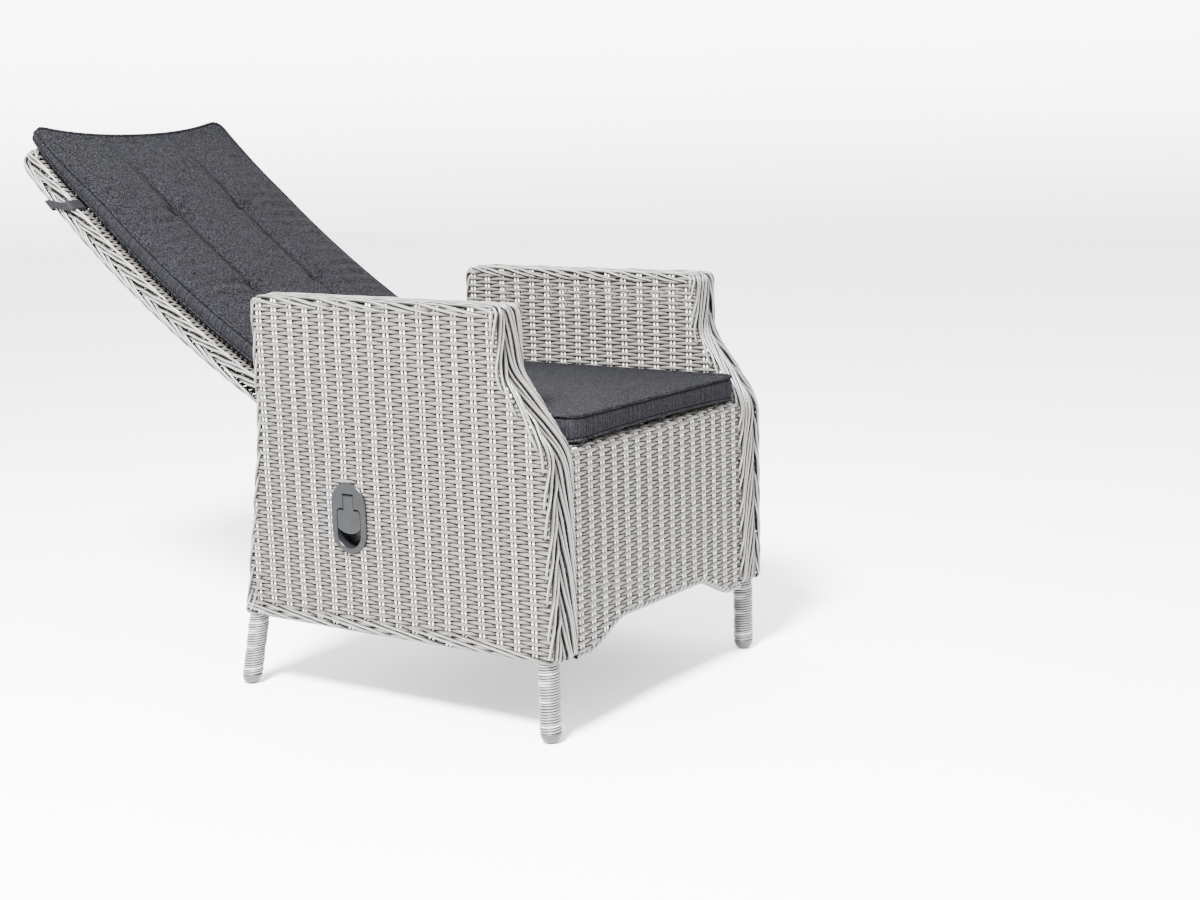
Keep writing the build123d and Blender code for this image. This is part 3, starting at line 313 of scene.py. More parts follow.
def rounded_path(corners, radii, step, closed=True):
    """Points along a polyline whose corners are rounded, no further apart than step."""
    corners = [np.array(corner, float) for corner in corners]
    count = len(corners)
    points = []
    for i, (corner, radius) in enumerate(zip(corners, radii)):
        if not closed and i in (0, count - 1):
            points.append(corner)
            continue
        before = corners[i - 1] - corner
        after = corners[(i + 1) % count] - corner
        before_length, after_length = np.linalg.norm(before), np.linalg.norm(after)
        before, after = before / before_length, after / after_length
        angle = math.acos(np.clip(before @ after, -1, 1))
        if radius <= 0 or angle > math.pi - 1e-3:
            points.append(corner)
            continue
        reach = min(radius / math.tan(angle / 2), 0.49 * before_length, 0.49 * after_length)
        radius = reach * math.tan(angle / 2)
        inward = (before + after) / np.linalg.norm(before + after)
        middle = corner + inward * radius / math.sin(angle / 2)
        start, end = corner + before * reach, corner + after * reach
        a = math.atan2(*(start - middle)[::-1])
        b = math.atan2(*(end - middle)[::-1])
        turn = (b - a + math.pi) % (2 * math.pi) - math.pi
        steps = max(2, int(abs(turn) * radius / step) + 1)
        for t in np.linspace(0, 1, steps + 1):
            here = a + turn * t
            points.append(middle + radius * np.array([math.cos(here), math.sin(here)]))
    if closed:
        points.append(points[0])
    dense = [points[0]]
    for a, b in zip(points, points[1:]):
        gap = np.linalg.norm(b - a)
        if gap < 1e-7:
            continue
        steps = max(1, int(gap / step))
        dense += [a + (b - a) * (k + 1) / steps for k in range(steps)]
    return np.array(dense)


arm_front, arm_rear, arm_bottom, arm_top = -0.327, 0.301, 0.126, 0.650
arm_corners = [
    (-0.243, arm_top), (-0.243, 0.552), (arm_front, 0.437), (arm_front, arm_bottom),
    (arm_rear, arm_bottom), (0.291, 0.160), (0.248, 0.430), (0.248, arm_top),
]
arm_radii = [0.014, 0.060, 0.070, 0.008, 0.008, 0.040, 0.500, 0.014]
arm_line = rounded_path(arm_corners, arm_radii, 0.003)
half_width = 0.310
arm_inner = 0.244


def crossings(line, level, axis, margin):
    """Spans between a closed line's crossings of a level of one axis, less the margin."""
    other = 1 - axis
    a, b = line[:-1], line[1:]
    hit = (a[:, axis] - level) * (b[:, axis] - level) < 0
    a, b = a[hit], b[hit]
    share = (level - a[:, axis]) / (b[:, axis] - a[:, axis])
    places = np.sort(a[:, other] + share * (b[:, other] - a[:, other]))
    return [(a + margin, b - margin) for a, b in zip(places[::2], places[1::2])]


def without(spans, low, high):
    """Spans with a gap cut out."""
    parts = [part for a, b in spans for part in ((a, min(b, low)), (max(a, high), b))]
    return [(a, b) for a, b in parts if b > a]


def plate_gap(distance):
    """Half the width of the plate's oval at a distance from its middle, or None."""
    over = max(0, abs(distance) - plate_straight)
    return math.sqrt(plate_radius**2 - over**2) if over < plate_radius else None


def woven(
    names, body, node, place, across_ends, along_ends, row_spans, stake_spans, detail,
    first_stake, pitch=row_pitch, width=strand_width,
):
    """Two pieces: the rows over and under stake pairs, and the stakes.

    place(across, along, out) gives a point and the outward way. row_spans and
    stake_spans say between which places a row or a stake is there, and detail is the
    points from one stake pair to the next and the strand's section.
    """
    samples, section = detail
    wefts, stakes = Strands(section), Strands(round_section)
    rng = random.Random(4)
    margin, shortest_row, shortest_stake, uneven = 0.010, 0.006, 0.008, 0.0003
    flat_end, stake_step = 0.006, 0.012
    first = math.ceil((across_ends[0] + margin - first_stake) / stake_spacing)
    last = math.floor((across_ends[1] - margin - first_stake) / stake_spacing)
    for row in range(int((along_ends[1] - along_ends[0]) / pitch)):
        along = along_ends[0] + (row + 0.5) * pitch
        lean = rng.uniform(-uneven, uneven)
        phase = row % 2
        for low, high in row_spans(along):
            if high - low < shortest_row:
                continue
            count = max(3, int((high - low) / stake_spacing * samples) + 1)
            across = np.linspace(low, high, count)
            wave = (across - first_stake) / stake_spacing + phase
            out = weave_swing * np.cos(math.pi * wave)
            out *= np.clip(np.minimum(across - low, high - across) / flat_end, 0.2, 1)
            wander = lean * np.sin(across * 41 + row) + weave_rise * out
            path, outward = place(across, along + wander, out)
            swell = 1.0 + 0.02 * np.cos(math.pi * wave)
            # Painted shade: the strand darkens where it dives behind the stakes.
            depth = weave_shade - weave_shade * np.cos(math.pi * wave - 0.45)
            wefts.add(path, outward, width * swell, strand_thickness, depth)
    for number in range(first, last + 1):
        for side in (-0.5, 0.5):
            across = first_stake + number * stake_spacing + side * stake_pair
            across += rng.uniform(-uneven, uneven)
            for low, high in stake_spans(across):
                if high - low < shortest_stake:
                    continue
                along = np.linspace(low, high, max(3, int((high - low) / stake_step)))
                drift = 0.0004 * np.sin(along * 60 + number)
                path, outward = place(across + drift, along, 0 * along)
                stakes.add(path, outward, stake_diameter, stake_diameter * 0.8)
    wefts.finish(names[0], strand, body, node)
    stakes.finish(names[1], stake_strand, body)


def arm_place(x, facing):
    """A flat face square to X, with its outward way."""
    def place(across, along, out):
        path = np.stack([x + facing * out, across + drawing_shift, along], axis=1)
        return path, np.array([facing, 0, 0])
    return place


edge_margin = 0.0032
skin_depth = 0.0037
fine = (6, domed_section)
medium = (5, domed_section)
coarse = (5, flat_section)

for side, facing in both_sides:
    for face in ("outer", "inner"):
        outer = face == "outer"
        x = facing * (half_width - skin_depth if outer else arm_inner + skin_depth)
        looks = facing if outer else -facing
        has_plate = side == "right" and outer

        def row_spans(z):
            spans = crossings(arm_line, z, 1, edge_margin)
            gap = plate_gap(z - plate_z) if has_plate else None
            return without(spans, plate_y - gap, plate_y + gap) if gap else spans

        def stake_spans(y):
            spans = crossings(arm_line, y, 0, edge_margin)
            if has_plate and abs(y - plate_y) < plate_radius:
                reach = plate_straight + math.sqrt(plate_radius**2 - (y - plate_y) ** 2)
                return without(spans, plate_z - reach, plate_z + reach)
            return spans

        woven(
            (f"arm_weave_{face}_{side}", f"arm_stakes_{face}_{side}"), "chair",
            f"arm_skin_{face}_{side}", arm_place(x, looks), (arm_front, arm_rear),
            (arm_bottom, arm_top), row_spans, stake_spans, fine if outer else medium,
            arm_first_stake,
        )


# Arms: the braided border
# The narrow faces are closed by a braid that starts on the two woven faces, turns the
# corner and runs almost lengthwise to a valley along the middle, where doubled
# strands from the two sides pass under each other.

# The braid's darkest colour is painted shade for the gaps between strands, and its last value a
# painted highlight along each strand's top.
braid_strand = material(
    "braid_strand",
    strand_look(
        light=(0.108, 0.105, 0.101), dark=(0.052, 0.048, 0.044), painted_shade=(0.007, 0.006, 0.005),
        streaks=(0.34, 0.60), low_sides=(0.95, 0.10), roughness=0.24, crest_highlight=0.45,
    ),
    IOR=1.5, Specular_IOR_Level=0.45,
)


def border(
    line, closed, half, valley, face_reach, angles, pitch, place,
    width=0.0057, dive=0.0052, crown=0.0014,
):
    """A braid along a line. place(point, normal, across, out) gives points in the frame.

    half is half its width, valley how far its dip is from the middle, face_reach how far
    it reaches onto the flat faces, and angles are those of its two sides to the line.
    """
    length = distances(line)
    total = length[-1]
    area = np.sum(line[:-1, 0] * line[1:, 1] - line[1:, 0] * line[:-1, 1])
    corner, overlap, sink, near = 0.0045, 0.003, 0.0022, 0.004
    samples, dive_start, valley_start = 34, 0.70, 0.72
    strands = Strands(domed_section)

    def wrap(s):
        return np.mod(s, total) if closed else np.clip(s, 0, total)

    def point_at(s):
        return np.stack([np.interp(s, length, line[:, k]) for k in (0, 1)], axis=-1)

    def at(s):
        s = wrap(s)
        along = point_at(wrap(s + near)) - point_at(wrap(s - near))
        along /= np.linalg.norm(along, axis=-1)[..., None] + 1e-12
        normal = np.stack([along[..., 1], -along[..., 0]], axis=-1)
        return point_at(s), normal if area > 0 else -normal

    rng = random.Random(9)
    for side, angle in zip((-1, 1), angles):
        slope = 1 / math.tan(math.radians(angle))
        count = max(4, round(total / (pitch * slope)))
        count -= count % 2
        for number in range(count):
            doubling = 0.1 if number % 2 else -0.1
            start = (number + doubling) * total / count + rng.uniform(-0.0016, 0.0016)
            _, normal_here = at(np.array([start]))
            reach = face_reach(normal_here[0])
            rest_width = half - side * valley - corner + overlap
            travel = np.array([reach, corner * math.pi / 2, rest_width])
            ends = np.cumsum(travel) / travel.sum()
            t = np.linspace(0, 1, samples)
            face = np.clip(t / ends[0], 0, 1)
            bend = np.clip((t - ends[0]) / (ends[1] - ends[0]), 0, 1)
            rest = np.clip((t - ends[1]) / (1 - ends[1]), 0, 1)
            s = start - reach * slope
            s += travel.sum() * slope * (t + 0.03 * np.sin(2 * math.pi * rest))
            if not closed and not (0 <= s[0] and s[-1] <= total):
                continue
            lift = rng.uniform(-0.0003, 0.0004)
            tilt = bend * math.pi / 2
            arch = np.sin(math.pi * rest)
            across = half - corner * (1 - np.cos(tilt)) - rest_width * rest
            out = -reach * (1 - face) - corner * (1 - np.sin(tilt)) - sink + lift
            out += crown * arch
            out -= dive * np.clip((rest - dive_start) / (1 - dive_start), 0, 1) ** 1.4
            out += 0.0010 * np.cos(math.pi * (number + 2.5 * rest)) * arch
            across += 0.0008 * (1 - bend) * np.clip(face * 3, 0, 1)
            across -= 0.0022 * np.clip(1 - face * 4, 0, 1)
            point, normal = at(s)
            path = place(point, normal, side * across, out)
            ahead = place(point, normal, side * (across + np.cos(tilt)), out + np.sin(tilt))
            # Painted shade: strands darken as they sink into the valley and where they tuck in on
            # the faces.
            depth = 0.7 * np.clip((rest - valley_start) / (1 - valley_start), 0, 1)
            depth += 0.5 * np.clip(1 - face * 3, 0, 1)
            thick = width * rng.uniform(0.92, 1.06)
            strands.add(path, ahead - path, thick, width * 0.95, depth)
    return strands


def arm_face_reach(normal):
    """How far the braid reaches onto the flat faces: most along the bottom."""
    under = np.clip((-normal[1] - 0.6) / 0.35, 0, 1)
    over = np.clip((normal[1] - 0.6) / 0.35, 0, 1)
    return 0.0045 + 0.0145 * under + 0.004 * over


for side, facing in both_sides:
    middle = facing * (half_width + arm_inner) / 2

    def arm_border_place(point, normal, across, out):
        y = point[:, 0] + normal[:, 0] * out + drawing_shift
        z = point[:, 1] + normal[:, 1] * out
        return np.stack([middle + across * -facing, y, z], axis=1)

    braid = border(
        arm_line[::-1], True, (half_width - arm_inner) / 2 - 0.0020, -0.0135, arm_face_reach,
        (9, 12), 0.0076, arm_border_place,
    )
    braid.finish(f"arm_border_{side}", braid_strand, "chair", f"arm_braid_{side}")


# Legs
# Round tube wound closely with the same strand from the arm down to a domed plastic
# cap. The rear legs lean back.

cap_plastic = material(
    "cap_plastic",
    lambda start: {
        "Base_Color": start.noise(60.0, 4.0).between(0.3, 0.7).mix(
            (0.022, 0.022, 0.024), (0.034, 0.034, 0.037)
        ),
        "Roughness": start.noise(220.0, 2.0) * 0.15 + 0.36,
        "Normal": start.noise(900.0, 2.0).bump(0.12, 0.0003),
    },
)


def leg_look(start):
    """The braid's strand, with paler turns here and there."""
    # Painted shade in the grooves between turns and a painted highlight along each turn's top, as
    # on the braid.
    look = strand_look(
        light=(0.088, 0.085, 0.081), dark=(0.046, 0.043, 0.039), painted_shade=(0.008, 0.007, 0.006),
        streaks=(0.36, 0.60), low_sides=(0.96, 0.15), roughness=0.26, crest_highlight=0.60,
    )(start)
    run = start.attribute("run")
    pale = run.scaled((10.0, 0.0, 0.0)).noise(1.0, 1.0).between(0.52, 0.60) * 0.55
    look["Base_Color"] = pale.mix(look["Base_Color"], (0.36, 0.355, 0.35))
    return look


leg_strand = material("leg_strand", leg_look, IOR=1.5, Specular_IOR_Level=0.4)
leg_x = 0.288
wound_low, wound_high, wound_pitch, wound_radius = 0.0118, 0.1310, 0.0092, 0.0146
cap_profile = [
    (0.006, 0.0), (0.0085, 0.0006), (0.0112, 0.0022), (0.0132, 0.0046), (0.0147, 0.0075),
    (0.0158, 0.0105), (0.0163, 0.0135), (0.0164, 0.0166), (0.0150, 0.0170),
]
cap_sides = 40

for place_name, foot_y, lean in (("front", -0.301, 0.0), ("rear", 0.313, -0.232)):
    for side, facing in both_sides:
        name = f"{place_name}_{side}"
        x, y = facing * leg_x, foot_y + drawing_shift
        turn = 2 * math.pi * np.arange(cap_sides) / cap_sides
        points = np.concatenate([
            np.stack([x + r * np.cos(turn), y + lean * z + r * np.sin(turn), z + 0 * turn], axis=1)
            for r, z in cap_profile
        ])
        faces = ring_faces(len(cap_profile), cap_sides)
        piece(f"foot_{name}", points, faces, cap_plastic, "chair", f"foot_cap_{name}")
        wound = Strands(domed_section)
        turns = (wound_high - wound_low) / wound_pitch
        turn = np.linspace(0, turns * 2 * math.pi, int(turns * 26))
        for twin in (0, 1):
            z = wound_low + 0.0021 + twin * 0.0042
            z = z + (wound_high - wound_low - 0.0084) * turn / turn[-1]
            radius = wound_radius + 0.0004 * np.sin(turn * 0.31 + twin * 2)
            radius += 0.0003 * np.sin(turn * 0.13 + twin)
            radius -= 0.0016 * np.clip((0.0195 - z) / 0.0030, 0, 1)
            outward = np.stack([np.cos(turn), np.sin(turn), 0 * turn], axis=1)
            middle = np.stack([x + 0 * z, y + lean * z, z], axis=1)
            wound.add(middle + radius[:, None] * outward, outward, 0.0045, 0.0044)
        wound.finish(f"leg_winding_{name}", leg_strand, "chair", f"leg_wrap_{name}")


# Apron
# The woven front below the seat. Its stakes come up from an arched, braided lower
# edge, bend over the front rail and end under the cushion.

apron_half = 0.2437
apron_low, apron_high = 0.118, 0.154
left_corners = [(0.122, apron_high), (0.200, apron_low), (apron_half, apron_low)]
apron_corners = [(-x, z) for x, z in reversed(left_corners)] + left_corners
apron_arch = rounded_path(apron_corners, [0, 0.070, 0.070, 0.070, 0.070, 0], 0.003, closed=False)
apron_face = -0.323
apron_bend = 0.010
apron_top = 0.440
apron_flange = -0.2927
bend_start = apron_top - apron_bend
bend_length = apron_bend * math.pi / 2
apron_end = bend_start + bend_length + (apron_flange - apron_face - apron_bend)


def apron_place(across, along, out):
    """Up the front, round the bend and back over the rail, by the distance along the stakes."""
    depth = out - 0.0026
    turn = np.clip((along - bend_start) / bend_length, 0, 1) * math.pi / 2
    beyond = np.maximum(0, along - bend_start - bend_length)
    y = apron_face + apron_bend * (1 - np.cos(turn)) + beyond - depth * np.cos(turn)
    z = np.minimum(along, bend_start) + apron_bend * np.sin(turn) + depth * np.sin(turn)
    outward = np.stack([0 * turn, -np.cos(turn), np.sin(turn)], axis=1)
    return np.stack([across, y + drawing_shift, z], axis=1), outward


def apron_rows(along):
    level = along - 0.009
    if level > apron_arch[:, 1].max():
        return [(-apron_half, apron_half)]
    rising = apron_arch[apron_arch[:, 0] <= 0]
    edge = np.interp(level, rising[:, 1], rising[:, 0])
    return [(-apron_half, edge), (-edge, apron_half)]


def apron_stakes(across):
    arch = np.interp(across, apron_arch[:, 0], apron_arch[:, 1])
    return [(float(arch) + 0.004, apron_end)]


seat_first_stake = -0.2282
woven(
    ("apron_rows", "apron_stakes"), "chair", "apron_weave", apron_place,
    (-apron_half, apron_half), (arm_bottom, apron_end), apron_rows, apron_stakes,
    fine, seat_first_stake,
)

rope = Strands(domed_section)
arch_length = distances(apron_arch)
rope_twist = 0.052
for ply in range(4):
    s = np.linspace(0, arch_length[-1], 260)
    x = np.interp(s, arch_length, apron_arch[:, 0])
    z = np.interp(s, arch_length, apron_arch[:, 1]) + 0.0052
    turn = s / rope_twist * 2 * math.pi + ply * math.pi / 2
    y = apron_face + 0.0045 + 0.0040 * np.sin(turn) + drawing_shift
    path = np.stack([x, y, z + 0.0034 * np.cos(turn)], axis=1)
    outward = np.stack([0 * s, np.sin(turn), np.cos(turn)], axis=1)
    rope.add(path, outward, 0.0062, 0.0030)
rope.finish("apron_border", braid_strand, "chair", "apron_braid")


# Seat deck
# A woven platform under the cushion, stretched over the seat's square tubes.

deck_low, deck_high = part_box("seat_deck")
deck_middle = (deck_low.z + deck_high.z) / 2


def deck_place(across, along, out):
    return np.stack([across, along, deck_middle + out * 0.8], axis=1), np.array([0, 0, 1])


deck_across, deck_along = (deck_low.x, deck_high.x), (deck_low.y, deck_high.y)
woven(
    ("deck_rows", "deck_stakes"), "chair", "seat_deck", deck_place, deck_across, deck_along,
    lambda along: [deck_across], lambda across: [deck_along], coarse, seat_first_stake,
    pitch=0.0080, width=0.0090,
)


# Back: the woven panel
# A bowed tube loop skinned on both faces with the same weave, and braided round its
# three free edges. It turns at seat height. Places on it are given by the distance
# along the bow, across it, and out towards the sitter.

back_length = 0.759
bow = 0.032
recline = math.radians(34.8)
pivot_y, pivot_z = 0.230, 0.440
bow_radius = back_length**2 / (8 * bow) + bow / 2
bow_arc = 2 * bow_radius * math.asin(back_length / (2 * bow_radius))


def back_point(across, along, out):
    """A place on the bowed panel, in the frame."""
    across, along, out = np.broadcast_arrays(across, along, out)
    turn = (along - bow_arc / 2) / bow_radius
    y = back_length / 2 + (bow_radius - out) * np.sin(turn)
    z = bow_radius - bow - (bow_radius - out) * np.cos(turn)
    return np.stack([
        across,
        pivot_y + y * math.cos(recline) - z * math.sin(recline) + drawing_shift,
        pivot_z + y * math.sin(recline) + z * math.cos(recline),
    ], axis=-1)


def back_out(along):
    """The outward way of the panel's front, at a distance along the bow."""
    return back_point(0.0, along, 1.0) - back_point(0.0, along, 0.0)


back_half = 0.239
panel_start = 0.015
panel_edge = 0.0050
panel_corner = 0.026
panel_skin = 0.0131
panel_reach, panel_end = back_half - panel_edge, bow_arc - panel_edge
panel_line = rounded_path(
    [
        (-back_half, panel_start), (-back_half, bow_arc),
        (back_half, bow_arc), (back_half, panel_start),
    ],
    [0, panel_corner, panel_corner, 0], 0.003, closed=False,
)


def panel_place(facing):
    def place(across, along, out):
        path = back_point(across, along, facing * (panel_skin + out))
        return path, facing * back_out(along)
    return place


def corner_loss(over):
    """How much the rounded corner takes off, this far into it."""
    return panel_corner - math.sqrt(max(0, panel_corner**2 - over**2)) if over > 0 else 0


def panel_rows(along):
    reach = panel_reach - corner_loss(along - (bow_arc - panel_corner))
    return [(-reach, reach)]


def panel_stakes(across):
    loss = corner_loss(abs(across) - (back_half - panel_corner))
    return [(panel_start, panel_end - loss)]


for face, facing in (("front", 1), ("rear", -1)):
    woven(
        (f"back_rows_{face}", f"back_stakes_{face}"), "back", f"back_skin_{face}",
        panel_place(facing), (-panel_reach, panel_reach), (panel_start, panel_end),
        panel_rows, panel_stakes, coarse, seat_first_stake,
    )


def back_border_place(point, normal, across, out):
    return back_point(point[:, 0] + normal[:, 0] * out, point[:, 1] + normal[:, 1] * out, across)


braid = border(
    panel_line, False, 0.0152, 0.002, lambda normal: 0.0075, (11, 12), 0.0068,
    back_border_place, width=0.0060, dive=0.0036,
)
braid.finish("back_border", braid_strand, "back", "back_braid")


# Metal and moulded parts
# Frame tubes are powder coated in the strand's grey, the linkage is zinc plated, the
# spring is lacquered black with a chromed rod, and the release plate and its flap
# are moulded in satin grey.

def plain_look(first, second, grain, roughness, depth):
    def build(start):
        clouds = start.noise(grain, 4.0, 0.6)
        return {
            "Base_Color": clouds.between(0.3, 0.7).mix(first, second),
            "Roughness": start.noise(grain * 3, 3.0) * 0.14 + roughness,
            "Normal": start.noise(grain * 14, 2.0).bump(depth, 0.0003),
        }
    return build


metal, plastic = {"Metallic": 1.0}, {}
finishes = {}
for name, first, second, grain, roughness, depth, constants in (
    ("frame_coat", (0.06, 0.058, 0.056), (0.08, 0.078, 0.075), 40.0, 0.42, 0.25, plastic),
    ("zinc_plate", (0.50, 0.50, 0.46), (0.66, 0.66, 0.63), 70.0, 0.28, 0.10, metal),
    ("cylinder_black", (0.012, 0.012, 0.013), (0.022, 0.022, 0.023), 30.0, 0.20, 0.05, plastic),
    ("rod_chrome", (0.75, 0.75, 0.76), (0.82, 0.82, 0.83), 60.0, 0.06, 0.02, metal),
    ("fastener_steel", (0.55, 0.54, 0.50), (0.68, 0.67, 0.64), 120.0, 0.26, 0.10, metal),
    ("nylon", (0.02, 0.02, 0.02), (0.035, 0.035, 0.035), 90.0, 0.45, 0.12, plastic),
    ("cable_sheath", (0.018, 0.018, 0.018), (0.03, 0.03, 0.03), 150.0, 0.34, 0.15, plastic),
    ("lever_grey", (0.0068, 0.0071, 0.0078), (0.0088, 0.0091, 0.0098), 50.0, 0.22, 0.06,
     {"Specular_IOR_Level": 0.12}),
):
    look = plain_look(first, second, grain, roughness, depth)
    finishes[name] = material(name, look, **constants)
subparts = {part["node"]: part["material_slot"] for part in frame["record"]["subparts"]}
for name, node in frame["nodes"].items():
    if subparts.get(name) in finishes and not node.hide_render:
        node.data.materials.clear()
        node.data.materials.append(finishes[subparts[name]])
        node.data.set_sharp_from_angle(angle=math.radians(32))


# Cushion cloth
# A charcoal outdoor cloth of mixed dark and pale yarns. On the boxing between two
# seams the pale yarns run crosswise. Painted shade makes the cloth nearly black beside
# each corded seam and darkens it in the back cushion's channels, dimples and creases.

def cloth_look(start):
    speck = start.noise(440.0, 3.0, 0.8) * 0.88 + start.noise(200.0, 2.0, 0.7) * 0.12
    thread = start.scaled((1500.0, 260.0, 260.0)).noise(1.0, 2.0)
    cross = start.scaled((260.0, 1500.0, 1500.0)).noise(1.0, 2.0)
    yarn = thread * 0.5 + cross * 0.5
    band = start.attribute("band")
    boxing, seam = band.axis(1), band.axis(2)
    stripe = band.scaled((360.0, 0.0, 0.0)).noise(1.0, 3.0, 0.7).between(0.40, 0.60)
    melange = (speck * 0.75 + yarn * 0.25).between(0.46, 0.575)
    share = boxing * 0.5
    fleck = melange * (1 - share) + stripe * share
    cloud = start.noise(14.0, 3.0).between(0.3, 0.7)
    colour = fleck.mix((0.0003, 0.0003, 0.0004), (0.0160, 0.0164, 0.0188))
    cloth = (cloud * 0.18).mix(colour, (0.007, 0.007, 0.008))
    # Painted shade beside the seams and in the creases: the cloth is mixed towards near black.
    return {
        "Base_Color": seam.mix(cloth, (0.0009, 0.0009, 0.0011)),
        "Roughness": speck * 0.15 + 0.8,
        "Normal": (yarn * 0.6 + speck * 0.4).bump(0.5, 0.0008),
    }


seat_cloth = material("seat_cloth", cloth_look, Specular_IOR_Level=0.02)
back_cloth = material("back_cloth", cloth_look, Specular_IOR_Level=0.02)


def ease(value, low, high):
    """Nought below low, one above high, and smooth between."""
    share = np.clip((value - low) / (high - low), 0, 1)
    return share * share * (3 - 2 * share)


def boxed_cushion(half, length, corner, levels, crown, bulge, narrow=None):
    """A closed cushion lying flat: x across, y along, and z out of what it lies on."""
    base, low, high = levels
    corners = [(-half, 0), (half, 0), (half, length), (-half, length)]
    plan = rounded_path(corners, [corner] * 4, 0.012)[:-1]
    if narrow:
        plan[:, 0] *= narrow(plan[:, 1])
    middle, size = np.array([0, length / 2]), np.array([half, length / 2])
    rings = []

    def ring(scale, level, crowned=0.0):
        here = middle + (plan - middle) * scale
        share = np.clip(np.abs((here - middle) / size), 0, 1)
        fall = (1 - share[:, 0] ** 3) * (1 - share[:, 1] ** 3)
        rings.append(np.column_stack([here, level + crowned * fall**0.5]))

    for scale in (0.02, 0.2, 0.4, 0.58, 0.74, 0.86, 0.93):
        ring(scale, base)
    for scale, rise in ((0.970, 0.18), (0.992, 0.55), (1.0, 1.0)):
        ring(scale, base + (low - base) * rise)
    for share in (0.33, 0.67, 1.0):
        ring(1 + bulge * math.sin(math.pi * share) / half, low + (high - low) * share)
    for scale in (
        0.985, 0.96, 0.92, 0.86, 0.78, 0.7, 0.62, 0.54, 0.46, 0.38, 0.3, 0.22, 0.14, 0.06, 0.02,
    ):
        ring(scale, high, crown)
    seams = [
        smooth_loop(np.column_stack([plan, np.full(len(plan), level)]), 0.004)
        for level in (low, high)
    ]
    return np.concatenate(rings), ring_faces(len(rings), len(plan)), seams


def smooth_loop(points, step):
    """A closed line through points, at an even step."""
    loop = np.vstack([points, points[:1]])
    length = distances(loop)
    places = np.linspace(0, length[-1], int(length[-1] / step), endpoint=False)
    return np.stack([np.interp(places, length, loop[:, k]) for k in range(3)], axis=1)


def seam_distance(points, seams):
    """How far each point is from the nearest point of the seams."""
    line = np.concatenate(seams)
    least = np.full(len(points), 1e9)
    for chunk in range(0, len(line), 64):
        part = line[chunk:chunk + 64]
        gap = np.linalg.norm(points[:, None, :] - part[None, :, :], axis=2).min(axis=1)
        least = np.minimum(least, gap)
    return least


def coordinates(mesh):
    """A mesh's points as an array."""
    values = np.empty(len(mesh.vertices) * 3)
    mesh.vertices.foreach_get("co", values)
    return values.reshape(-1, 3)


def apply_modifier(made, kind, settings):
    """Adds a modifier with its settings and applies it."""
    added = made.modifiers.new(kind.lower(), kind)
    for key, value in settings.items():
        setattr(added, key, value)
    bpy.ops.object.modifier_apply(modifier=added.name)


def inflate(made, held, voxel=0.006, swell=0.006, frames=20):
    """Remeshes a cushion, swells it as cloth with its seams held, and makes it finer."""
    bpy.context.view_layer.objects.active = made
    made.select_set(True)
    apply_modifier(made, "REMESH", {"mode": "VOXEL", "voxel_size": voxel})
    mesh = made.data
    before = coordinates(mesh)
    group = made.vertex_groups.new(name="held")
    for index, weight in enumerate(held(before)):
        if weight > 0.01:
            group.add([index], float(weight), "REPLACE")
    cloth = made.modifiers.new("cloth", "CLOTH")
    for key, value in {
        "vertex_group_mass": "held", "pin_stiffness": 1.0, "quality": 4,
        "use_pressure": True, "uniform_pressure_force": 1.2,
        "tension_stiffness": 15, "compression_stiffness": 15, "bending_stiffness": 1.5,
    }.items():
        setattr(cloth.settings, key, value)
    cloth.settings.effector_weights.gravity = 0
    cloth.collision_settings.use_collision = False
    scene.frame_start, scene.frame_end = 1, frames
    for number in range(1, frames + 1):
        scene.frame_set(number)
    swollen = made.evaluated_get(bpy.context.evaluated_depsgraph_get())
    move = coordinates(swollen.to_mesh()) - before
    swollen.to_mesh_clear()
    made.modifiers.remove(cloth)
    scene.frame_set(1)
    size = np.linalg.norm(move, axis=1)
    move *= min(1, swell / (np.percentile(size, 98) + 1e-9))
    mesh.vertices.foreach_set("co", (before + move).ravel())
    mesh.update()
    apply_modifier(made, "SMOOTH", {"factor": 0.5, "iterations": 3})
    apply_modifier(made, "SUBSURF", {"levels": 1})
    made.select_set(False)


def dress(made, detail, lay, seams, levels, stripe_way):
    """Shapes the channels and creases, paints shade beside the seams and in them, lays the
    cushion in its place and marks it.

    The attribute band holds the place along the stripes, the boxing, and the painted
    shade beside the seams and in the channels, dimples and creases.
    """
    mesh = made.data
    flat = coordinates(mesh)
    points, crease_shade = detail(flat)
    seams = [detail(seam)[0] for seam in seams]
    gap = seam_distance(points, seams)
    low, high = levels
    band = np.zeros((len(points), 3))
    band[:, 0] = points[:, 1] + stripe_way * points[:, 0]
    band[:, 1] = ease(flat[:, 2], low, low + 0.003) * (1 - ease(flat[:, 2], high - 0.003, high))
    # Painted shade: nearly black beside the seams, and darker in the channels, dimples and
    # creases.
    band[:, 2] = np.maximum(1 - ease(gap, 0.0026, 0.0048), crease_shade)
    mesh.vertices.foreach_set("co", lay(*points.T).ravel())
    mark = mesh.attributes.new("band", "FLOAT_VECTOR", "POINT")
    mark.data.foreach_set("vector", band.astype(np.float32).ravel())
    mesh.shade_smooth()
    mesh.update()
    return [lay(*seam.T) for seam in seams]


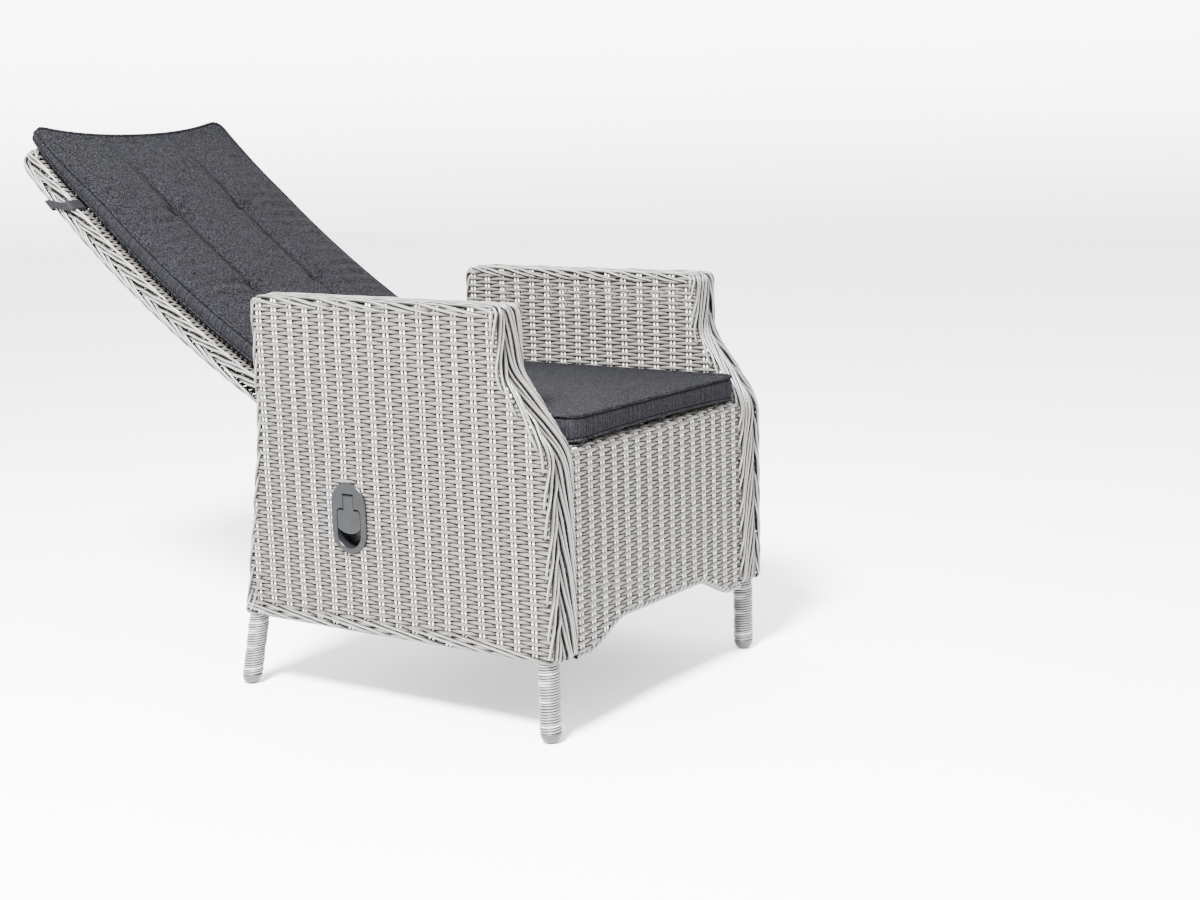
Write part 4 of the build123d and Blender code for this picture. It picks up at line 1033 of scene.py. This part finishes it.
def cord(name, seam, surface, body):
    """A corded edge: a closed tube along a seam."""
    sides, cord_radius, cord_sink = 8, 0.0026, 0.0012
    along = np.roll(seam, -1, axis=0) - np.roll(seam, 1, axis=0)
    along /= np.linalg.norm(along, axis=1)[:, None]
    outward = seam - seam.mean(axis=0)
    across = np.cross(along, outward)
    across /= np.linalg.norm(across, axis=1)[:, None]
    up = np.cross(across, along)
    turn = np.linspace(0, 2 * math.pi, sides, endpoint=False)[None, :, None]
    ring = across[:, None, :] * np.cos(turn) + up[:, None, :] * np.sin(turn)
    ring = (seam - up * cord_sink)[:, None, :] + cord_radius * ring
    faces = ring_faces(len(seam), sides, ends=False)
    return piece(name, ring.reshape(-1, 3), faces, surface, body, turn_out=True)


# Seat cushion
# A loose boxed cushion of foam, corded along its upper and lower edges, with a low
# crown. Its lower front edge arches a little off the deck.

seat_half = 0.2370
seat_front, seat_rear = -0.3235, 0.212
seat_levels = seat_base, seat_seam_low, seat_seam_high = 0.4405, 0.4470, 0.4840
points, faces, seat_seams = boxed_cushion(
    seat_half, seat_rear - seat_front, 0.022, seat_levels, crown=0.005, bulge=0.0015
)
seat_cushion = piece("seat_pad", points, faces, seat_cloth, "chair", "seat_cushion")


def near_seams(points, seams):
    """One on either seam, and nought 10 mm away from both."""
    return np.clip((0.010 - seam_distance(points, seams)) / 0.004, 0, 1)


def seat_held(points):
    under = np.clip((seat_base + 0.004 - points[:, 2]) / 0.002, 0, 1)
    return np.maximum(near_seams(points, seat_seams), under)


def seat_detail(points):
    x, along, out = points.T.copy()
    on_top = ease(out, seat_seam_high, seat_seam_high + 0.006)
    uneven = 0.0012 * np.sin(8 * x + 1) * np.sin(9 * along + 0.5)
    uneven += 0.0005 * np.sin(23 * x + 2) * np.sin(17 * along)
    arch = (1 - (x / seat_half) ** 2) * (1 - ease(along, 0.0, 0.040))
    arch *= 1 - ease(out, 0.452, 0.478)
    return np.column_stack([x, along, out + on_top * uneven + 0.005 * arch]), 0 * x


def seat_lay(x, along, out):
    return np.column_stack([x, seat_front + along + drawing_shift, out])


inflate(seat_cushion, seat_held)
seams = dress(seat_cushion, seat_detail, seat_lay, seat_seams, (seat_seam_low, seat_seam_high), -1)
cord("seat_piping_lower", seams[0], seat_cloth, "chair")
cord("seat_piping_upper", seams[1], seat_cloth, "chair")


# Back cushion
# A soft fibre-filled cushion. Two seams run its length, and on each two stitched
# tufts draw the cover in, with creases running out from them. Its top edge hangs
# between the corners, and fine pleats run down from it.

pad_half = 0.2265
pad_start, pad_end = 0.066, bow_arc + 0.017
pad_length = pad_end - pad_start
pad_levels = pad_base, pad_seam_low, pad_seam_high = 0.0195, 0.0320, 0.0600
tuft_x = 0.080
tufts = [(side * tuft_x, place) for side in (-1, 1) for place in (0.298, 0.525)]
tuft_creases = (
    (20, 0.040, 0.0030), (-35, 0.030, 0.0022), (150, 0.030, 0.0024), (-160, 0.026, 0.0018),
)


def pad_narrow(along):
    """The cushion is a little wider where the strap holds it, and above."""
    return 0.972 + 0.028 * ease(along + pad_start, 0.58, 0.72)


points, faces, pad_seams = boxed_cushion(
    pad_half, pad_length, 0.024, pad_levels, crown=0.009, bulge=0.0025, narrow=pad_narrow
)
back_pad = piece("back_pad", points, faces, back_cloth, "back", "back_cushion")


def back_held(points):
    x, along, out = points.T
    under = np.clip((pad_base + 0.003 - out) / 0.002, 0, 1)
    on_top = out > pad_seam_high
    sewn = 0.6 * np.clip((0.012 - np.abs(np.abs(x) - tuft_x)) / 0.006, 0, 1) * on_top
    held = np.maximum(np.maximum(near_seams(points, pad_seams), under), sewn)
    for tuft, place in tufts:
        gap = np.hypot(x - tuft, along + pad_start - place)
        held = np.maximum(held, np.clip((0.018 - gap) / 0.006, 0, 1) * on_top)
    return held


def back_detail(points):
    x, along, out = points.T.copy()
    place = along + pad_start
    on_top = ease(out, pad_seam_high, pad_seam_high + 0.006)
    near_top = np.clip((place - (pad_end - 0.170)) / 0.170, 0, 1) ** 2
    channel = np.exp(-(((np.abs(x) - tuft_x) / 0.012) ** 2))
    channel *= 0.30 + 0.70 * (1 - ease(place, 0.54, 0.72))
    channel *= ease(along, 0.01, 0.07)
    out -= 0.0085 * channel * on_top
    # Painted shade along the channel's middle, in the tuft dimples and along the creases.
    crease_shade = 0.55 * channel * np.exp(-(((np.abs(x) - tuft_x) / 0.0045) ** 2))
    for tuft, where in tufts:
        side = math.copysign(1, tuft)
        dimple = np.exp(-((x - tuft) ** 2 + (place - where) ** 2) / 0.015**2)
        out -= 0.0095 * on_top * dimple
        crease_shade = np.maximum(crease_shade, 0.8 * dimple**4)
        for turn, reach, depth in tuft_creases:
            way = side * math.cos(math.radians(turn)), math.sin(math.radians(turn))
            run = (x - tuft) * way[0] + (place - where) * way[1]
            off = (x - tuft) * -way[1] + (place - where) * way[0]
            ahead = np.clip(run, 0, 1)
            crease = np.exp(-((off / (0.0035 + 0.10 * ahead)) ** 2)) * np.exp(-ahead / reach)
            crease *= ease(run, 0.0, 0.008)
            out -= 1.4 * depth * crease * on_top
            crease_shade = np.maximum(crease_shade, 0.45 * crease)
    pleat = 0.0015 * np.sin(2 * math.pi * x / 0.020 + 1.6 * np.sin(place * 15) + 0.7)
    pleat *= ease(place, 0.54, 0.66) * (1 - ease(np.abs(x), 0.080, 0.125))
    ripple = 0.0012 * np.sin(2 * math.pi * place / 0.031 + 9 * x) * ease(np.abs(x), 0.09, 0.13)
    calm = 0.25 + np.exp(-(((place - 0.50) / 0.06) ** 2))
    ripple *= calm + 0.8 * np.exp(-(((place - 0.30) / 0.06) ** 2))
    uneven = 0.0012 * np.sin(19 * x + 1) * np.sin(13 * place)
    sag = (1 - (x / pad_half) ** 2) * near_top
    ear = (np.abs(x) / pad_half) ** 4 * near_top
    out += on_top * (pleat + ripple + uneven - 0.007 * sag)
    out = pad_base + (out - pad_base) * (1 - 0.38 * ease(place, 0.54, 0.80)) + 0.005 * ear
    along = along - 0.024 * sag + 0.005 * ear
    return np.column_stack([x, along, out]), crease_shade * on_top


def back_lay(x, along, out):
    return back_point(x, pad_start + along, out)


inflate(back_pad, back_held)
seams = dress(back_pad, back_detail, back_lay, pad_seams, (pad_seam_low, pad_seam_high), 1)
cord("back_piping_lower", seams[0], back_cloth, "back")
cord("back_piping_upper", seams[1], back_cloth, "back")


# Strap
# A flat black elastic sewn to the back of the cushion, stretched over the panel's
# side edges and across its rear.

elastic = material(
    "elastic",
    lambda start: {
        "Base_Color": start.noise(700.0, 3.0).between(0.35, 0.65).mix(
            (0.003, 0.003, 0.0034), (0.009, 0.0092, 0.0105)
        ),
        "Roughness": start.noise(500.0, 2.0) * 0.12 + 0.70,
        "Normal": start.scaled((300.0, 2400.0, 2400.0)).noise(1.0, 2.0).bump(0.5, 0.0004),
    },
    Specular_IOR_Level=0.1,
)
strap_middle, strap_width, strap_slant = 0.652, 0.022, 0.040
strap_reach = back_half + 0.0050
strap_front, strap_rear = 0.0186, -0.0200
strap_line = rounded_path(
    [
        (-back_half + 0.042, strap_front), (-strap_reach, strap_front), (-strap_reach, strap_rear),
        (strap_reach, strap_rear), (strap_reach, strap_front), (back_half - 0.042, strap_front),
    ],
    [0, 0.004, 0.004, 0.004, 0.004, 0], 0.006, closed=False,
)
strap_columns, half_thickness, rib = 7, 0.0006, 0.00025
over = np.linspace(0, 1, strap_columns)
share = np.concatenate([over, over[::-1]])
layer = half_thickness + np.abs(rib * np.cos(share * math.pi * 6))
layer *= np.repeat([-1, 1], strap_columns)
run = np.gradient(strap_line, axis=0)
run /= np.linalg.norm(run, axis=1)[:, None]
normal = np.stack([-run[:, 1], run[:, 0]], axis=1)
place = strap_line[:, None, :] + normal[:, None, :] * layer[None, :, None]
slant = strap_slant * ease(place[..., 1], -0.018, 0.018)
along = strap_middle + strap_width * (share - 0.5) - slant
points = back_point(place[..., 0], along, place[..., 1]).reshape(-1, 3)
faces = ring_faces(len(strap_line), len(share))
piece("strap", points, faces, elastic, "back", "cushion_strap", turn_out=True)


# Floor, lights and camera
# A plain pale floor and the soft light of a studio: a strong panel to the left and
# above, weak ones in front and overhead, and a surround that is brighter behind the
# chair, the more so upwards.

floor_look = material(
    "floor",
    lambda start: {
        "Base_Color": start.noise(3.0, 2.0).mix((0.86, 0.86, 0.86), (0.89, 0.89, 0.89)),
        "Roughness": start.noise(20.0, 2.0) * 0.1 + 0.7,
    },
)
far, level = 9, -0.0005
floor_corners = [(-far, -far, level), (far, -far, level), (far, far, level), (-far, far, level)]
floor_mesh = bpy.data.meshes.new("floor")
floor_mesh.from_pydata(floor_corners, [], [(0, 1, 2, 3)])
floor_mesh.materials.append(floor_look)
floor = bpy.data.objects.new("floor", floor_mesh)
scene.collection.objects.link(floor)

world = bpy.data.worlds.new("studio")
world.use_nodes = True
nodes = world.node_tree.nodes
backdrop = Socket(world.node_tree, nodes.new("ShaderNodeTexCoord").outputs["Generated"])
dot = {"operation": "DOT_PRODUCT"}
ahead = backdrop.node("ShaderNodeVectorMath", dot, out=1, i0=backdrop, i1=(0.827, 0.562, 0.0))
wall = backdrop.axis(2).between(-0.085, 0.05).mix((3.7, 3.7, 3.7), (8.8, 8.8, 8.8))
glow = ahead.between(0.35, 0.85).mix((2.9, 2.9, 2.9), wall)
world.node_tree.links.new(glow.output, nodes["Background"].inputs["Color"])
scene.world = world


def panel(name, place, size, power, target=Vector((0, 0, 0.4))):
    """A soft light panel that faces the chair."""
    light = bpy.data.lights.new(name, "AREA")
    light.shape = "DISK"
    light.size = size
    light.energy = power
    made = bpy.data.objects.new(name, light)
    made.location = place
    made.rotation_euler = (target - Vector(place)).to_track_quat("-Z", "Y").to_euler()
    scene.collection.objects.link(made)


panel("key", (-2.5, -1.0, 3.5), 1.0, 1900)
panel("fill", (-1.0, -3.4, 1.6), 2.4, 50)
panel("top", (0.6, 0.6, 3.4), 1.6, 60)

focal_length, image_width, sensor_width = 1903.3252, 1200, 36
camera_data = bpy.data.cameras.new("camera")
camera_data.lens = sensor_width * focal_length / image_width
camera = bpy.data.objects.new("camera", camera_data)
yaw, pitch, roll = -0.972857, 0.178303, -0.0254269
level = math.cos(pitch)
backward = Vector((math.sin(yaw) * level, -math.cos(yaw) * level, math.sin(pitch)))
rightward = Vector((math.cos(yaw), math.sin(yaw), 0))
upward = backward.cross(rightward)
tilted_right = rightward * math.cos(roll) + upward * math.sin(roll)
tilted_up = upward * math.cos(roll) - rightward * math.sin(roll)
turned = Matrix((tilted_right, tilted_up, backward)).transposed().to_4x4()
camera_place = Vector((-2.48668, -1.89991 + drawing_shift, 0.930226))
camera.matrix_world = Matrix.Translation(camera_place) @ turned
scene.collection.objects.link(camera)
scene.camera = camera
